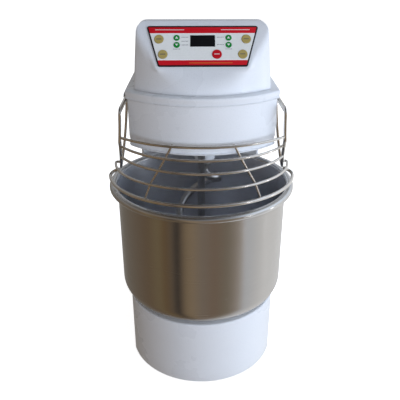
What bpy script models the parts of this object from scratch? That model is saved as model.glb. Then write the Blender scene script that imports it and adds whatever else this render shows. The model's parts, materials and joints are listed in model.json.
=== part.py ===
"""Spiral dough mixer with a turning bowl, fixed breaker bar, spiral hook and hinged wire guard.

Metres, +Z up, the front faces -Y. The origin is on the floor at the centre of the machine's box.
All sizes below are measured from the bowl's axis, where the empty "machine" stands.
"""

import math

import bmesh
import bpy
from mathutils import Matrix, Vector

# Whole machine
LENGTH = 0.750
RIM_RADIUS = 0.2186
REAR = LENGTH - RIM_RADIUS
BODY_REAR = REAR - 0.020
BOWL_Y = RIM_RADIUS - LENGTH / 2
GAP = 0.0003
WALL = 0.003

# Heights
SKIRT = 0.003
BASE_TOP = 0.1762
BOWL_BOTTOM = 0.178
BEAD_Z = 0.4635
HEAD_BOTTOM = 0.598
DRUM_TOP = 0.696
COLLAR_TOP = 0.713
HEIGHT = 0.840

# Plans
BASE_RADIUS = 0.186
BASE_HALF_WIDTH = 0.1765
COLUMN_HALF_WIDTH = 0.160
COLUMN_FRONT_RADIUS = 0.245
DRUM_RADIUS = 0.200
DRUM_HALF_WIDTH = 0.150
COLLAR_PROUD = 0.0045
HOOD_RADIUS = 0.185
HOOD_HALF_WIDTH = 0.1365
HOOD_DRAFT = 0.0815
HOOD_CORNER = 0.018
HOOD_REAR = 0.490
RIDGE_Y = -0.075
ROOF_SLOPE = 0.115

# Slanted control panel: its bottom edge, slope and size
PANEL_Y = -0.160
PANEL_Z = 0.7627
PANEL_SLOPE = math.radians(55)
PANEL_LENGTH = 0.0825
PANEL_BOTTOM_HALF = 0.0845
PANEL_TOP_HALF = 0.1070
PANEL_THICKNESS = 0.002
KEY_TRAVEL = 0.001

# Bowl
BOWL_RADIUS = 0.200
BOWL_WALL = 0.0025
BOWL_CORNER = 0.041

# Tools and drive
HOOK_X = 0.010
HOOK_Y = 0.098
HOOK_ROD = 0.0095
HOOK_TOP = 0.470
# The spiral: turn in degrees from +X, reach from its own axis, height
HOOK_PATH = (
    (-130, 0.000, 0.4620),
    (-95, 0.003, 0.4530),
    (-50, 0.017, 0.4400),
    (0, 0.033, 0.4280),
    (90, 0.052, 0.3960),
    (180, 0.066, 0.3340),
    (270, 0.070, 0.2830),
    (360, 0.070, 0.2380),
    (450, 0.068, 0.1950),
)
BAR_RADIUS = 0.009
LAY_Y = 0.300
MOTOR_Y = 0.425
BOWL_SPROCKET = 0.120
LAY_LOW_SPROCKET = 0.016
LAY_HIGH_SPROCKET = 0.040
HOOK_SPROCKET = 0.050
LAY_PULLEY = 0.080
MOTOR_PULLEY = 0.020
LOW_CHAIN_Z = 0.110
HIGH_CHAIN_Z = 0.666
BELT_Z = 0.635

# Guard: hinge, arm corners as (y, z), wires
HINGE_X = 0.163
HINGE_Y = -0.030
HINGE_Z = 0.676
ARM_CORNERS = ((HINGE_Y, HINGE_Z), (-0.155, 0.677), (-0.141, 0.612), (-0.030, 0.508))
ARM_WIDTH = 0.012
ARM_THICKNESS = 0.005
WIRE = 0.0029
LOW_WIRE = 0.0038
RIB_WIRE = 0.0025
# Upper rings: height, radius of the arc, y of its centre
UPPER_RINGS = ((0.620, 0.246, 0.034), (0.593, 0.203, -0.010), (0.566, 0.196, -0.018))
# Lower rings: height in front and beside, radius, y of the centre, wire radius, y and z of the ends on the arms
LOWER_RINGS = (
    (0.5325, 0.5225, 0.198, -0.015, WIRE, -0.034, 0.5250),
    (0.4965, 0.4890, 0.2145, 0.000, LOW_WIRE, -0.030, 0.5060),
)
RIB_HALF_WIDTHS = (0.062, 0.076, 0.0905, 0.110, 0.124)

FINISHES = {
    "paint": ((0.80, 0.84, 0.88), 0.0, 0.30),
    "steel": ((0.60, 0.58, 0.55), 1.0, 0.30),
    "wire_steel": ((0.62, 0.57, 0.50), 1.0, 0.25),
    "dark_steel": ((0.20, 0.20, 0.21), 1.0, 0.45),
    "panel": ((0.85, 0.86, 0.86), 0.0, 0.35),
    "display": ((0.01, 0.01, 0.01), 0.0, 0.10),
    "gold_key": ((0.42, 0.34, 0.10), 0.0, 0.35),
    "green_key": ((0.01, 0.30, 0.05), 0.0, 0.35),
    "red_key": ((0.60, 0.01, 0.02), 0.0, 0.35),
    "board": ((0.02, 0.20, 0.08), 0.0, 0.50),
    "rubber": ((0.03, 0.03, 0.03), 0.0, 0.80),
    "black_plastic": ((0.03, 0.03, 0.035), 0.0, 0.45),
    "motor_paint": ((0.12, 0.20, 0.32), 0.0, 0.45),
}


def clear_scene():
    for obj in list(bpy.data.objects):
        bpy.data.objects.remove(obj)


def material(name, finish):
    made = bpy.data.materials.new(name)
    made.use_nodes = True
    shader = made.node_tree.nodes["Principled BSDF"]
    colour, metallic, roughness = FINISHES[finish]
    shader.inputs["Base Color"].default_value = (*colour, 1.0)
    shader.inputs["Metallic"].default_value = metallic
    shader.inputs["Roughness"].default_value = roughness
    return made


def pivot(name, parent, location, rotation=(0.0, 0.0, 0.0)):
    """An empty that marks a place or an axis."""
    empty = bpy.data.objects.new(name, None)
    empty.location = location
    empty.rotation_euler = rotation
    empty.parent = parent
    bpy.context.scene.collection.objects.link(empty)
    return empty


def add_mesh(name, bm, finish, parent, shift=(0.0, 0.0, 0.0), sharp=35):
    """Turns bm into a shaded object; shift moves its mesh, so that its origin is on its axis."""
    bmesh.ops.remove_doubles(bm, verts=bm.verts, dist=1e-6)
    bmesh.ops.recalc_face_normals(bm, faces=bm.faces)
    bmesh.ops.translate(bm, verts=bm.verts, vec=shift)
    mesh = bpy.data.meshes.new(name)
    bm.to_mesh(mesh)
    bm.free()
    mesh.shade_smooth()
    mesh.set_sharp_from_angle(angle=math.radians(sharp))
    obj = bpy.data.objects.new(name, mesh)
    obj.parent = parent
    bpy.context.scene.collection.objects.link(obj)
    if finish:
        mesh.materials.append(material(name, finish))
    return obj


def boolean(obj, other, operation="DIFFERENCE"):
    other.hide_render = True
    other.display_type = "WIRE"
    modifier = obj.modifiers.new(other.name, "BOOLEAN")
    modifier.operation = operation
    modifier.solver = "EXACT"
    modifier.object = other


# ---- outlines, lists of (x, y), anticlockwise


def arc(centre, radius, start, end, steps):
    """Points on a circle from one angle to another, in radians, both ends included."""
    angles = [start + (end - start) * i / steps for i in range(steps + 1)]
    return [(centre[0] + radius * math.cos(a), centre[1] + radius * math.sin(a)) for a in angles]


def circle(radius, steps, centre=(0.0, 0.0)):
    return arc(centre, radius, 0, 2 * math.pi * (1 - 1 / steps), steps - 1)


def d_plan(radius, half_width, rear, inset=0.0, front_corner=0.012, rear_corner=0.012, steps=24):
    """A round front of the given radius, straight sides and a flat rear with round corners."""
    radius -= inset
    half_width -= inset
    rear -= inset
    corner = min(front_corner, radius - half_width) if radius - half_width > 1e-6 else 0.0
    rear_corner = max(rear_corner - inset, 0.001)
    points = []
    if corner:
        lever = radius - corner
        cy = -math.sqrt(lever**2 - (half_width - corner) ** 2)
        turn = math.atan2(cy, half_width - corner)
        points += arc((corner - half_width, cy), corner, -math.pi, -math.pi - turn, 3)
        points += arc((0, 0), radius, -math.pi - turn, turn, steps)[1:-1]
        points += arc((half_width - corner, cy), corner, turn, 0, 3)
    else:
        points += arc((0, 0), radius, -math.pi, 0, steps)
    points += arc((half_width - rear_corner, rear - rear_corner), rear_corner, 0, math.pi / 2, 3)
    points += arc((rear_corner - half_width, rear - rear_corner), rear_corner, math.pi / 2, math.pi, 3)
    return points


def column_plan(inset=0.0, rear=BODY_REAR - 0.0023):
    """A box whose front is hollowed round the bowl."""
    half = COLUMN_HALF_WIDTH - inset
    radius = COLUMN_FRONT_RADIUS + inset
    side = math.asin(half / radius)
    front = arc((0, 0), radius, math.pi / 2 + side, math.pi / 2 - side, 20)
    return front + [(half, rear - inset), (-half, rear - inset)]


def trapezoid(inset=0.0, corner=0.004, steps=4):
    """The control panel's outline in its own plane, x across and y up the slope."""
    slant = (PANEL_TOP_HALF - PANEL_BOTTOM_HALF) / PANEL_LENGTH
    low, high = inset, PANEL_LENGTH - inset
    side = inset * math.sqrt(1 + slant**2)
    bottom = PANEL_BOTTOM_HALF + slant * low - side
    top = PANEL_BOTTOM_HALF + slant * high - side
    corners = [Vector(p) for p in ((-bottom, low), (bottom, low), (top, high), (-top, high))]
    points = []
    for i, here in enumerate(corners):
        before = (corners[i - 1] - here).normalized()
        after = (corners[(i + 1) % 4] - here).normalized()
        half_angle = before.angle(after) / 2
        centre = here + (before + after).normalized() * corner / math.sin(half_angle)
        first = here + before * corner / math.tan(half_angle) - centre
        last = here + after * corner / math.tan(half_angle) - centre
        start = math.atan2(first.y, first.x)
        sweep = (math.atan2(last.y, last.x) - start) % (2 * math.pi)
        points += arc(centre, corner, start, start + sweep, steps)
    return points


# ---- solids


def ring_of(bm, outline, z):
    return [bm.verts.new((x, y, z)) for x, y in outline]


def bridge(bm, low, high):
    count = len(low)
    for i in range(count):
        j = (i + 1) % count
        bm.faces.new((low[i], low[j], high[j], high[i]))


def loft(bm, rings):
    for low, high in zip(rings, rings[1:]):
        bridge(bm, low, high)


def solid(name, levels, finish, parent, shift=(0, 0, 0), sharp=35):
    """A closed solid through outlines: levels is a list of (outline, z)."""
    bm = bmesh.new()
    rings = [ring_of(bm, outline, z) for outline, z in levels]
    loft(bm, rings)
    bm.faces.new(rings[0])
    bm.faces.new(rings[-1])
    return add_mesh(name, bm, finish, parent, shift, sharp)


def prism(name, outline, low, high, finish, parent, shift=(0, 0, 0)):
    return solid(name, [(outline, low), (outline, high)], finish, parent, shift)


def shell(name, outer, inner, finish, parent, closed=True, sharp=35):
    """A hollow piece: both lists of (outline, z) start at its open end. closed caps the far end."""
    bm = bmesh.new()
    outside = [ring_of(bm, outline, z) for outline, z in outer]
    inside = [ring_of(bm, outline, z) for outline, z in inner]
    loft(bm, outside)
    loft(bm, inside)
    bridge(bm, outside[0], inside[0])
    if closed:
        bm.faces.new(outside[-1])
        bm.faces.new(inside[-1])
    else:
        bridge(bm, outside[-1], inside[-1])
    return add_mesh(name, bm, finish, parent, sharp=sharp)


def lathe(name, profile, finish, parent, steps=24, shift=(0, 0, 0), turn=None, sharp=35):
    """Turns a profile of (radius, z) about Z. turn is a matrix that lays the axis elsewhere."""
    bm = bmesh.new()
    verts = [bm.verts.new((r, 0, z)) for r, z in profile]
    closed = profile[0][0] > 0 or profile[-1][0] > 0
    pairs = list(zip(verts, verts[1:])) + ([(verts[-1], verts[0])] if closed else [])
    edges = [bm.edges.new(pair) for pair in pairs]
    bmesh.ops.spin(
        bm, geom=verts + edges, cent=(0, 0, 0), axis=(0, 0, 1), angle=2 * math.pi, steps=steps, use_merge=True
    )
    if turn:
        bmesh.ops.transform(bm, matrix=turn, verts=bm.verts)
    return add_mesh(name, bm, finish, parent, shift, sharp)


def box(name, low, high, finish, parent, bevel=0.0, shift=(0, 0, 0)):
    bm = bmesh.new()
    middle = (Vector(low) + Vector(high)) / 2
    size = Vector(high) - Vector(low)
    bmesh.ops.create_cube(bm, size=1.0, matrix=Matrix.Translation(middle) @ Matrix.Diagonal((*size, 1)))
    obj = add_mesh(name, bm, finish, parent, shift)
    if bevel:
        modifier = obj.modifiers.new("bevel", "BEVEL")
        modifier.width = bevel
        modifier.segments = 2
    return obj


def tube(radius_out, radius_in, low, high):
    """A lathe profile of a plain ring."""
    return [(radius_out, high), (radius_out, low), (radius_in, low), (radius_in, high)]


def wire(name, points, radius, finish, parent, origin):
    """A round wire through points, its ends capped."""
    curve = bpy.data.curves.new(name, "CURVE")
    curve.dimensions = "3D"
    curve.bevel_depth = radius
    curve.bevel_resolution = 2
    curve.use_fill_caps = True
    spline = curve.splines.new("POLY")
    spline.points.add(len(points) - 1)
    for spot, point in zip(spline.points, points):
        spot.co = (*(Vector(point) - Vector(origin)), 1.0)
    spline.use_smooth = True
    curve.materials.append(material(name, finish))
    obj = bpy.data.objects.new(name, curve)
    obj.parent = parent
    bpy.context.scene.collection.objects.link(obj)
    return obj


def smooth_step(t):
    t = min(max(t, 0.0), 1.0)
    return t * t * (3 - 2 * t)


# ---- body


def make_base(machine):
    def plan(inset):
        return d_plan(BASE_RADIUS, BASE_HALF_WIDTH, BODY_REAR, inset, front_corner=0.004, rear_corner=0.03, steps=32)

    outer = [(plan(0.0015), SKIRT), (plan(0), SKIRT + 0.002), (plan(0), BASE_TOP - 0.004)]
    outer += [(plan(0.0012), BASE_TOP - 0.0012), (plan(0.004), BASE_TOP)]
    inner = [(plan(WALL), SKIRT), (plan(WALL), BASE_TOP - WALL)]
    base = shell("base_shell", outer, inner, "paint", machine)
    boolean(base, lathe("cut_spindle", tube_plug(0.058, BASE_TOP), None, machine))
    boolean(base, box("cut_column_foot", (-0.12, 0.27, BASE_TOP - 0.02), (0.12, 0.49, BASE_TOP + 0.02), None, machine))
    laid = Matrix.Translation((0.100, BODY_REAR, 0.060)) @ Matrix.Rotation(math.pi / 2, 4, "X")
    boolean(base, lathe("cut_gland", [(0, 0.01), (0.0085, 0.01), (0.0085, -0.01), (0, -0.01)], None, machine, turn=laid))
    gland = [(0.0125, -GAP), (0.0125, -0.007), (0.0095, -0.009), (0.0095, -0.016), (0.0070, -0.020)]
    gland += [(0.0042, -0.020), (0.0042, 0.012), (0.0080, 0.012), (0.0080, -GAP)]
    lathe("cable_gland", gland, "black_plastic", machine, 16, turn=laid)

    plate = d_plan(BASE_RADIUS, BASE_HALF_WIDTH, BODY_REAR, WALL + 0.001, front_corner=0.004, rear_corner=0.03, steps=24)
    prism("base_plate", plate, 0.0123, 0.0173, "dark_steel", machine)
    places = {"front_left": (-0.11, -0.11), "front_right": (0.11, -0.11), "rear_left": (-0.145, 0.45), "rear_right": (0.145, 0.45)}
    for where, (x, y) in places.items():
        profile = [(0, 0.012), (0.016, 0.012), (0.020, 0.002), (0.019, 0.0), (0, 0.0)]
        foot = lathe("foot_" + where, profile, "rubber", machine, 16)
        foot.location = (x, y, 0.0)


def tube_plug(radius, height):
    """A lathe profile of a plug that cuts a hole through a thin wall at a height."""
    return [(0, height + 0.01), (radius, height + 0.01), (radius, height - 0.01), (0, height - 0.01)]


def make_column(machine):
    top = HEAD_BOTTOM - GAP
    outer = [(column_plan(), BASE_TOP + GAP), (column_plan(), top - 0.006)]
    outer += [(column_plan(0.0018), top - 0.0018), (column_plan(0.006), top)]
    inner = [(column_plan(WALL), BASE_TOP + GAP), (column_plan(WALL), top - WALL)]
    column = shell("column_shell", outer, inner, "paint", machine)
    boolean(column, box("cut_column_back", (-0.140, 0.48, 0.190), (0.140, 0.53, 0.580), None, machine))
    boolean(column, box("cut_column_top", (-0.10, 0.265, top - 0.02), (0.10, 0.49, top + 0.02), None, machine))
    cover = box("rear_cover", (-0.152, BODY_REAR - 0.002, 0.180), (0.152, BODY_REAR, 0.590), "paint", machine)
    for row in range(6):
        for column_x in (-0.060, 0.060):
            z = 0.235 + 0.012 * row
            slot = box("cut_vent_%d_%d" % (row, column_x > 0), (column_x - 0.04, 0.5, z), (column_x + 0.04, 0.52, z + 0.005), None, machine)
            boolean(cover, slot)


def make_head(machine):
    def drum(inset):
        return d_plan(DRUM_RADIUS, DRUM_HALF_WIDTH, BODY_REAR, inset)

    def collar(inset):
        return d_plan(DRUM_RADIUS + COLLAR_PROUD, DRUM_HALF_WIDTH + COLLAR_PROUD, BODY_REAR, inset)

    rim = DRUM_TOP - GAP
    outer = [(drum(0), rim), (drum(0), HEAD_BOTTOM + 0.003), (drum(0.001), HEAD_BOTTOM + 0.001), (drum(0.003), HEAD_BOTTOM)]
    inner = [(drum(WALL), rim), (drum(WALL), HEAD_BOTTOM + WALL)]
    head = shell("head_drum", outer, inner, "paint", machine)
    boolean(head, box("cut_head_floor", (-0.10, 0.265, HEAD_BOTTOM - 0.02), (0.10, 0.49, HEAD_BOTTOM + 0.02), None, machine))
    hook_hole = lathe("cut_hook_hole", tube_plug(0.016, HEAD_BOTTOM), None, machine)
    hook_hole.location = (HOOK_X, HOOK_Y, 0)
    boolean(head, hook_hole)
    boolean(head, lathe("cut_bar_hole", tube_plug(0.0094, HEAD_BOTTOM), None, machine))

    opening = 0.030
    outer = [(collar(0.0015), DRUM_TOP), (collar(0), DRUM_TOP + 0.0015), (collar(0), COLLAR_TOP - 0.003)]
    outer += [(collar(0.0009), COLLAR_TOP - 0.0009), (collar(0.003), COLLAR_TOP)]
    inner = [(collar(opening), DRUM_TOP), (collar(opening), COLLAR_TOP)]
    shell("head_collar", outer, inner, "paint", machine, closed=False)


def panel_face_y(z):
    """y of the slanted face at a height."""
    return PANEL_Y + (z - PANEL_Z) / math.tan(PANEL_SLOPE)


def pad_share(x, z):
    """1 on the flat pad that carries the panel, fading to 0 round it."""
    up = (z - PANEL_Z) / math.sin(PANEL_SLOPE)
    slant = (PANEL_TOP_HALF - PANEL_BOTTOM_HALF) / PANEL_LENGTH
    beside = abs(x) - (PANEL_BOTTOM_HALF + slant * up)
    below = -up
    distance = math.hypot(max(beside, 0), max(below, 0))
    return 1 - smooth_step((distance - 0.003) / 0.012)


def soft_max(a, b, reach):
    overlap = max(reach - abs(a - b), 0.0)
    return max(a, b) + overlap**2 / (4 * reach)


def rounding(rise):
    """How far an edge with the hood's corner radius has drawn in after a rise."""
    return HOOD_CORNER - math.sqrt(max(HOOD_CORNER**2 - max(rise, 0.0) ** 2, 0.0))


def hood_level(z, inset, steps=26, side_steps=8):
    """The hood's outline at a height, drawn in by inset: round front, slanted face, roof sloping to the rear."""
    corner = rounding(z - (HEIGHT - inset - HOOD_CORNER))
    drawn_in = inset + corner + HOOD_DRAFT * (z - COLLAR_TOP)
    end = min(RIDGE_Y + (HEIGHT - z - inset) / ROOF_SLOPE, HOOD_REAR - drawn_in)
    outline = d_plan(HOOD_RADIUS, HOOD_HALF_WIDTH, HOOD_REAR, drawn_in, steps=steps)
    longer = []
    for i, (x, y) in enumerate(outline):
        next_x, next_y = outline[(i + 1) % len(outline)]
        longer.append((x, min(y, end)))
        if abs(next_x - x) < 1e-6 and abs(next_y - y) > 0.05:
            y, next_y = min(y, end), min(next_y, end)
            longer += [(x, y + (next_y - y) * k / side_steps) for k in range(1, side_steps)]
    points = []
    for x, y in longer:
        face = panel_face_y(z) + inset / math.sin(PANEL_SLOPE) + corner * 0.2
        if y < 0.05:
            cut = soft_max(y, face, 0.010)
            share = pad_share(x, z) * (1 - smooth_step((y - face - 0.01) / 0.03)) if inset == 0 else 0.0
            y = min(cut + (face - cut) * share, end)
        below_roof = HEIGHT - inset - ROOF_SLOPE * (y - RIDGE_Y) - z
        if y > RIDGE_Y:
            x -= math.copysign(max(rounding(HOOD_CORNER - below_roof) - corner, 0.0), x)
        points.append((x, y))
    return points


def make_hood(machine):
    heights = [0.7133, 0.735, 0.747, 0.755, 0.762, 0.775, 0.790, 0.806]
    heights += [HEIGHT - HOOD_CORNER * (1 - math.sin(a * math.pi / 12)) for a in (0, 2, 4, 5, 6)]
    outer = [(hood_level(z, 0), z) for z in heights]
    inner_heights = [0.7133, 0.745, 0.772, 0.795, 0.819, 0.830, HEIGHT - WALL]
    inner = [(hood_level(z, WALL), z) for z in inner_heights]
    return shell("hood", outer, inner, "paint", machine, sharp=50)


# Round keys on the panel: name, x, distance up the slope, radius, finish
KEYS = (
    ("key_gold_1", -0.0830, 0.0554, 0.0089, "gold_key"),
    ("key_gold_2", -0.0757, 0.0247, 0.0089, "gold_key"),
    ("key_gold_3", 0.0830, 0.0554, 0.0089, "gold_key"),
    ("key_gold_4", 0.0757, 0.0247, 0.0089, "gold_key"),
    ("key_green_1", -0.0493, 0.0581, 0.0058, "green_key"),
    ("key_green_2", -0.0493, 0.0436, 0.0058, "green_key"),
    ("key_green_3", 0.0493, 0.0581, 0.0058, "green_key"),
    ("key_green_4", 0.0493, 0.0436, 0.0058, "green_key"),
    ("key_stop", 0.0268, 0.0247, 0.0092, "red_key"),
)


def make_panel(machine, hood):
    face = pivot("panel_face", machine, (0, PANEL_Y, PANEL_Z), (PANEL_SLOPE, 0, 0))
    boolean(hood, prism("cut_hood_window", trapezoid(0.0045), -0.030, 0.010, None, face))
    plate = prism("panel_plate", trapezoid(), GAP, PANEL_THICKNESS, "panel", face)
    boolean(plate, box("cut_display", (-0.0238, 0.0399, -0.01), (0.0238, 0.0635, 0.01), None, face))
    box("display_window", (-0.0235, 0.0402, GAP), (0.0235, 0.0632, PANEL_THICKNESS - GAP), "display", face)
    board = prism("control_board", trapezoid(0.012), -0.0080, -0.0064, "board", face)
    board.name = "control_board"
    for name, x, up, radius, finish in KEYS:
        hole = lathe("cut_" + name, [(0, 0.01), (radius + 0.0004, 0.01), (radius + 0.0004, -0.01), (0, -0.01)], None, face, 16)
        hole.location = (x, up, 0)
        boolean(plate, hole)
        top = PANEL_THICKNESS + KEY_TRAVEL
        profile = [(0, top), (radius - 0.0006, top), (radius, top - 0.0006), (radius, -0.0015)]
        profile += [(0.0025, -0.0015), (0.0025, -0.0048), (0, -0.0048)]
        key = lathe(name, profile, finish, face, 16)
        key.location = (x, up, 0)


# ---- drive


def open_belt(first, first_radius, second, second_radius, steps=14):
    """The outline of a belt round two pulleys, drawn just outside both: first and second are (x, y)."""
    a, b = Vector(first), Vector(second)
    along = math.atan2((b - a).y, (b - a).x)
    lean = math.acos((first_radius - second_radius) / (b - a).length)
    clear = 1 / math.cos((math.pi - lean) / steps)
    points = arc(first, first_radius * clear, along + lean, along + 2 * math.pi - lean, steps)
    return points + arc(second, second_radius * clear, along - lean, along + lean, steps)


def make_belt(name, first, first_radius, second, second_radius, low, high, thickness, machine):
    inner = open_belt(first, first_radius + 0.0006, second, second_radius + 0.0006)
    outer = open_belt(first, first_radius + 0.0006 + thickness, second, second_radius + 0.0006 + thickness)
    shell(name, [(outer, low), (outer, high)], [(inner, low), (inner, high)], "rubber", machine, closed=False)


def wheel(name, radius, bore, z, half_height, finish, parent, thin=0.0):
    """A pulley is a plain ring. A sprocket, with thin given, is a plate of that half-thickness on a hub."""
    hub = bore + 0.007
    profile = tube(radius, bore, -half_height, half_height)
    if thin:
        profile = [(bore, thin), (bore, -half_height), (hub, -half_height), (hub, -thin), (radius, -thin), (radius, thin)]
    made = lathe(name, profile, finish, parent, 24)
    made.location = (0, 0, z)
    return made


def make_drive(machine):
    bowl_axis = pivot("bowl_axis", machine, (0, 0, 0))
    hook_axis = pivot("hook_axis", machine, (HOOK_X, HOOK_Y, 0))
    lay_axis = pivot("lay_axis", machine, (0, LAY_Y, 0))
    motor_axis = pivot("motor_axis", machine, (0, MOTOR_Y, 0))
    hook, lay, motor = (HOOK_X, HOOK_Y), (0, LAY_Y), (0, MOTOR_Y)

    profile = [(0.055, 0.026), (0.055, 0.0176), (0.0136, 0.0176), (0.0136, 0.098), (0.026, 0.098), (0.026, 0.026)]
    lathe("bowl_bearing", profile, "dark_steel", machine)
    flange = BOWL_BOTTOM - GAP
    profile = [(0, flange), (0.055, flange), (0.055, flange - 0.008), (0.013, flange - 0.008), (0.013, 0.024), (0, 0.024)]
    lathe("bowl_spindle", profile, "dark_steel", bowl_axis)
    wheel("bowl_sprocket", BOWL_SPROCKET, 0.0134, LOW_CHAIN_Z, 0.010, "dark_steel", bowl_axis, thin=0.003)

    profile = [(0.022, 0.070), (0.030, 0.026), (0.030, 0.0176), (0.0104, 0.0176), (0.0104, 0.070)]
    lathe("lay_bearing_bottom", profile, "dark_steel", machine).location = (*lay, 0)
    profile = tube(0.028, 0.0104, 0.5866, 0.606)
    lathe("lay_bearing_top", profile, "dark_steel", machine).location = (*lay, 0)
    lathe("lay_shaft", [(0, 0.684), (0.010, 0.684), (0.010, 0.024), (0, 0.024)], "steel", lay_axis, 24)
    wheel("lay_sprocket_bottom", LAY_LOW_SPROCKET, 0.0104, LOW_CHAIN_Z, 0.006, "dark_steel", lay_axis)
    wheel("lay_pulley", LAY_PULLEY, 0.0104, BELT_Z, 0.013, "dark_steel", lay_axis)
    wheel("lay_sprocket_top", LAY_HIGH_SPROCKET, 0.0104, HIGH_CHAIN_Z, 0.010, "dark_steel", lay_axis, thin=0.003)

    wheel("hook_sprocket", HOOK_SPROCKET, 0.0129, HIGH_CHAIN_Z, 0.010, "dark_steel", hook_axis, thin=0.003)
    flange = HOOK_TOP
    profile = [(0, 0.684), (0.0125, 0.684), (0.0125, flange + 0.009), (0.019, flange + 0.006), (0.019, flange), (0, flange)]
    lathe("hook_shaft", profile, "steel", hook_axis, 24)

    profile = [(0, 0.50), (0, 0.372), (0.058, 0.372), (0.070, 0.384), (0.070, 0.570), (0.080, 0.570), (0.080, 0.580)]
    profile += [(0.0105, 0.580), (0.0105, 0.50)]
    lathe("motor", profile, "motor_paint", machine).location = (*motor, 0)
    mount = box("motor_mount", (-0.1567, 0.262, 0.5803), (0.1567, 0.500, 0.5863), "dark_steel", machine)
    shaft_hole = lathe("cut_motor_hole", tube_plug(0.030, 0.583), None, machine)
    shaft_hole.location = (*motor, 0)
    boolean(mount, shaft_hole)
    lay_hole = lathe("cut_lay_hole", tube_plug(0.014, 0.583), None, machine)
    lay_hole.location = (*lay, 0)
    boolean(mount, lay_hole)
    lathe("motor_shaft", [(0, 0.652), (0.0095, 0.652), (0.0095, 0.505), (0, 0.505)], "steel", motor_axis, 24)
    wheel("motor_pulley", MOTOR_PULLEY, 0.0099, BELT_Z, 0.013, "dark_steel", motor_axis)

    make_belt("motor_belt", lay, LAY_PULLEY, motor, MOTOR_PULLEY, BELT_Z - 0.010, BELT_Z + 0.010, 0.004, machine)
    make_belt("hook_chain", hook, HOOK_SPROCKET, lay, LAY_HIGH_SPROCKET, HIGH_CHAIN_Z - 0.004, HIGH_CHAIN_Z + 0.004, 0.004, machine)
    make_belt("bowl_chain", (0, 0), BOWL_SPROCKET, lay, LAY_LOW_SPROCKET, LOW_CHAIN_Z - 0.004, LOW_CHAIN_Z + 0.004, 0.004, machine)
    box("inverter_box", (-0.150, 0.270, 0.220), (-0.090, 0.400, 0.345), "black_plastic", machine, bevel=0.003)
    box("guard_switch", (0.110, -0.045, 0.645), (0.135, -0.015, 0.685), "black_plastic", machine, bevel=0.002)
    return bowl_axis, hook_axis


# ---- bowl, hook and bar


def make_bowl(bowl_axis):
    """The wall, a rounded bottom corner and a rim rolled outwards into a hollow bead."""
    corner_z = BOWL_BOTTOM + BOWL_CORNER
    corner_r = BOWL_RADIUS - BOWL_CORNER
    bead_r = (RIM_RADIUS - BOWL_RADIUS) / 2
    bead_x = BOWL_RADIUS + bead_r
    flat = 0.85
    outside = [(0, BOWL_BOTTOM)] + [(corner_r + x, corner_z + z) for x, z in arc((0, 0), BOWL_CORNER, -math.pi / 2, 0, 4)]
    bead = [(bead_x + x, BEAD_Z + z * flat) for x, z in arc((0, 0), bead_r, math.radians(-150), math.radians(180), 9)]
    inner_r = BOWL_CORNER - BOWL_WALL
    inside = [(corner_r + x, corner_z + z) for x, z in arc((0, 0), inner_r, 0, -math.pi / 2, 4)]
    lead = [(BOWL_RADIUS - BOWL_WALL, BEAD_Z - 0.006)]
    profile = outside + bead + lead + inside + [(0, BOWL_BOTTOM + BOWL_WALL)]
    lathe("bowl", profile, "steel", bowl_axis, 48)


def hook_point(turn):
    """A point of the hook's centre line, on a smooth curve through the rows of HOOK_PATH."""
    last = len(HOOK_PATH) - 2
    k = next((i for i in range(last) if turn < HOOK_PATH[i + 1][0]), last)
    span = HOOK_PATH[k + 1][0] - HOOK_PATH[k][0]
    t = (turn - HOOK_PATH[k][0]) / span

    def slope(i, column):
        before, after = HOOK_PATH[max(i - 1, 0)], HOOK_PATH[min(i + 1, last + 1)]
        return span * (after[column] - before[column]) / (after[0] - before[0])

    def value(column):
        a, b = HOOK_PATH[k][column], HOOK_PATH[k + 1][column]
        start, end = slope(k, column), slope(k + 1, column)
        return a + t * (start + t * (3 * (b - a) - 2 * start - end + t * (start + end - 2 * (b - a))))

    angle = math.radians(turn)
    return Vector((value(1) * math.cos(angle), value(1) * math.sin(angle), value(2)))


def make_hook(hook_axis):
    points = [Vector((0, 0, HOOK_TOP - GAP)), Vector((0, 0, HOOK_TOP - 0.006))]
    points += [hook_point(turn) for turn in range(-95, 450, 11)]
    wire("spiral_hook", points, HOOK_ROD, "steel", hook_axis, (0, 0, 0))


def make_bar_and_sleeve(machine):
    top = HEAD_BOTTOM - GAP
    profile = [(0, 0.618), (0.0085, 0.618), (0.0085, top), (0.022, top), (0.022, top - 0.006), (BAR_RADIUS, top - 0.010)]
    profile += [(BAR_RADIUS, 0.205), (0.006, 0.196), (0, 0.196)]
    lathe("breaker_bar", profile, "steel", machine, 24)
    nut = tube(0.017, 0.0103, HEAD_BOTTOM + WALL + GAP, 0.614)
    lathe("breaker_nut", nut, "steel", machine, 6)
    profile = [(0.0134, top), (0.0134, 0.482), (0.0235, 0.482), (0.026, 0.487), (0.026, top - 0.010), (0.042, top - 0.006), (0.042, top)]
    lathe("hook_sleeve", profile, "paint", machine).location = (HOOK_X, HOOK_Y, 0)


# ---- guard


def arm_x(z):
    """How far out the side arm stands at a height: it splays towards its foot."""
    below = 0.681 - z
    return HINGE_X + 0.0575 * below + 0.45 * below**2


def offset_loop(points, distance):
    """The closed (y, z) loop moved sideways by a distance, to the left of its direction."""
    moved = []
    count = len(points)
    for i in range(count):
        here, before, after = (Vector(points[k % count]) for k in (i, i - 1, i + 1))
        arrive = (here - before).normalized()
        leave = (after - here).normalized()
        left = Vector((-arrive.y - leave.y, arrive.x + leave.x)).normalized()
        miter = distance / max(left.dot(Vector((-arrive.y, arrive.x))), 0.5)
        moved.append(here + left * miter)
    return moved


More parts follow.
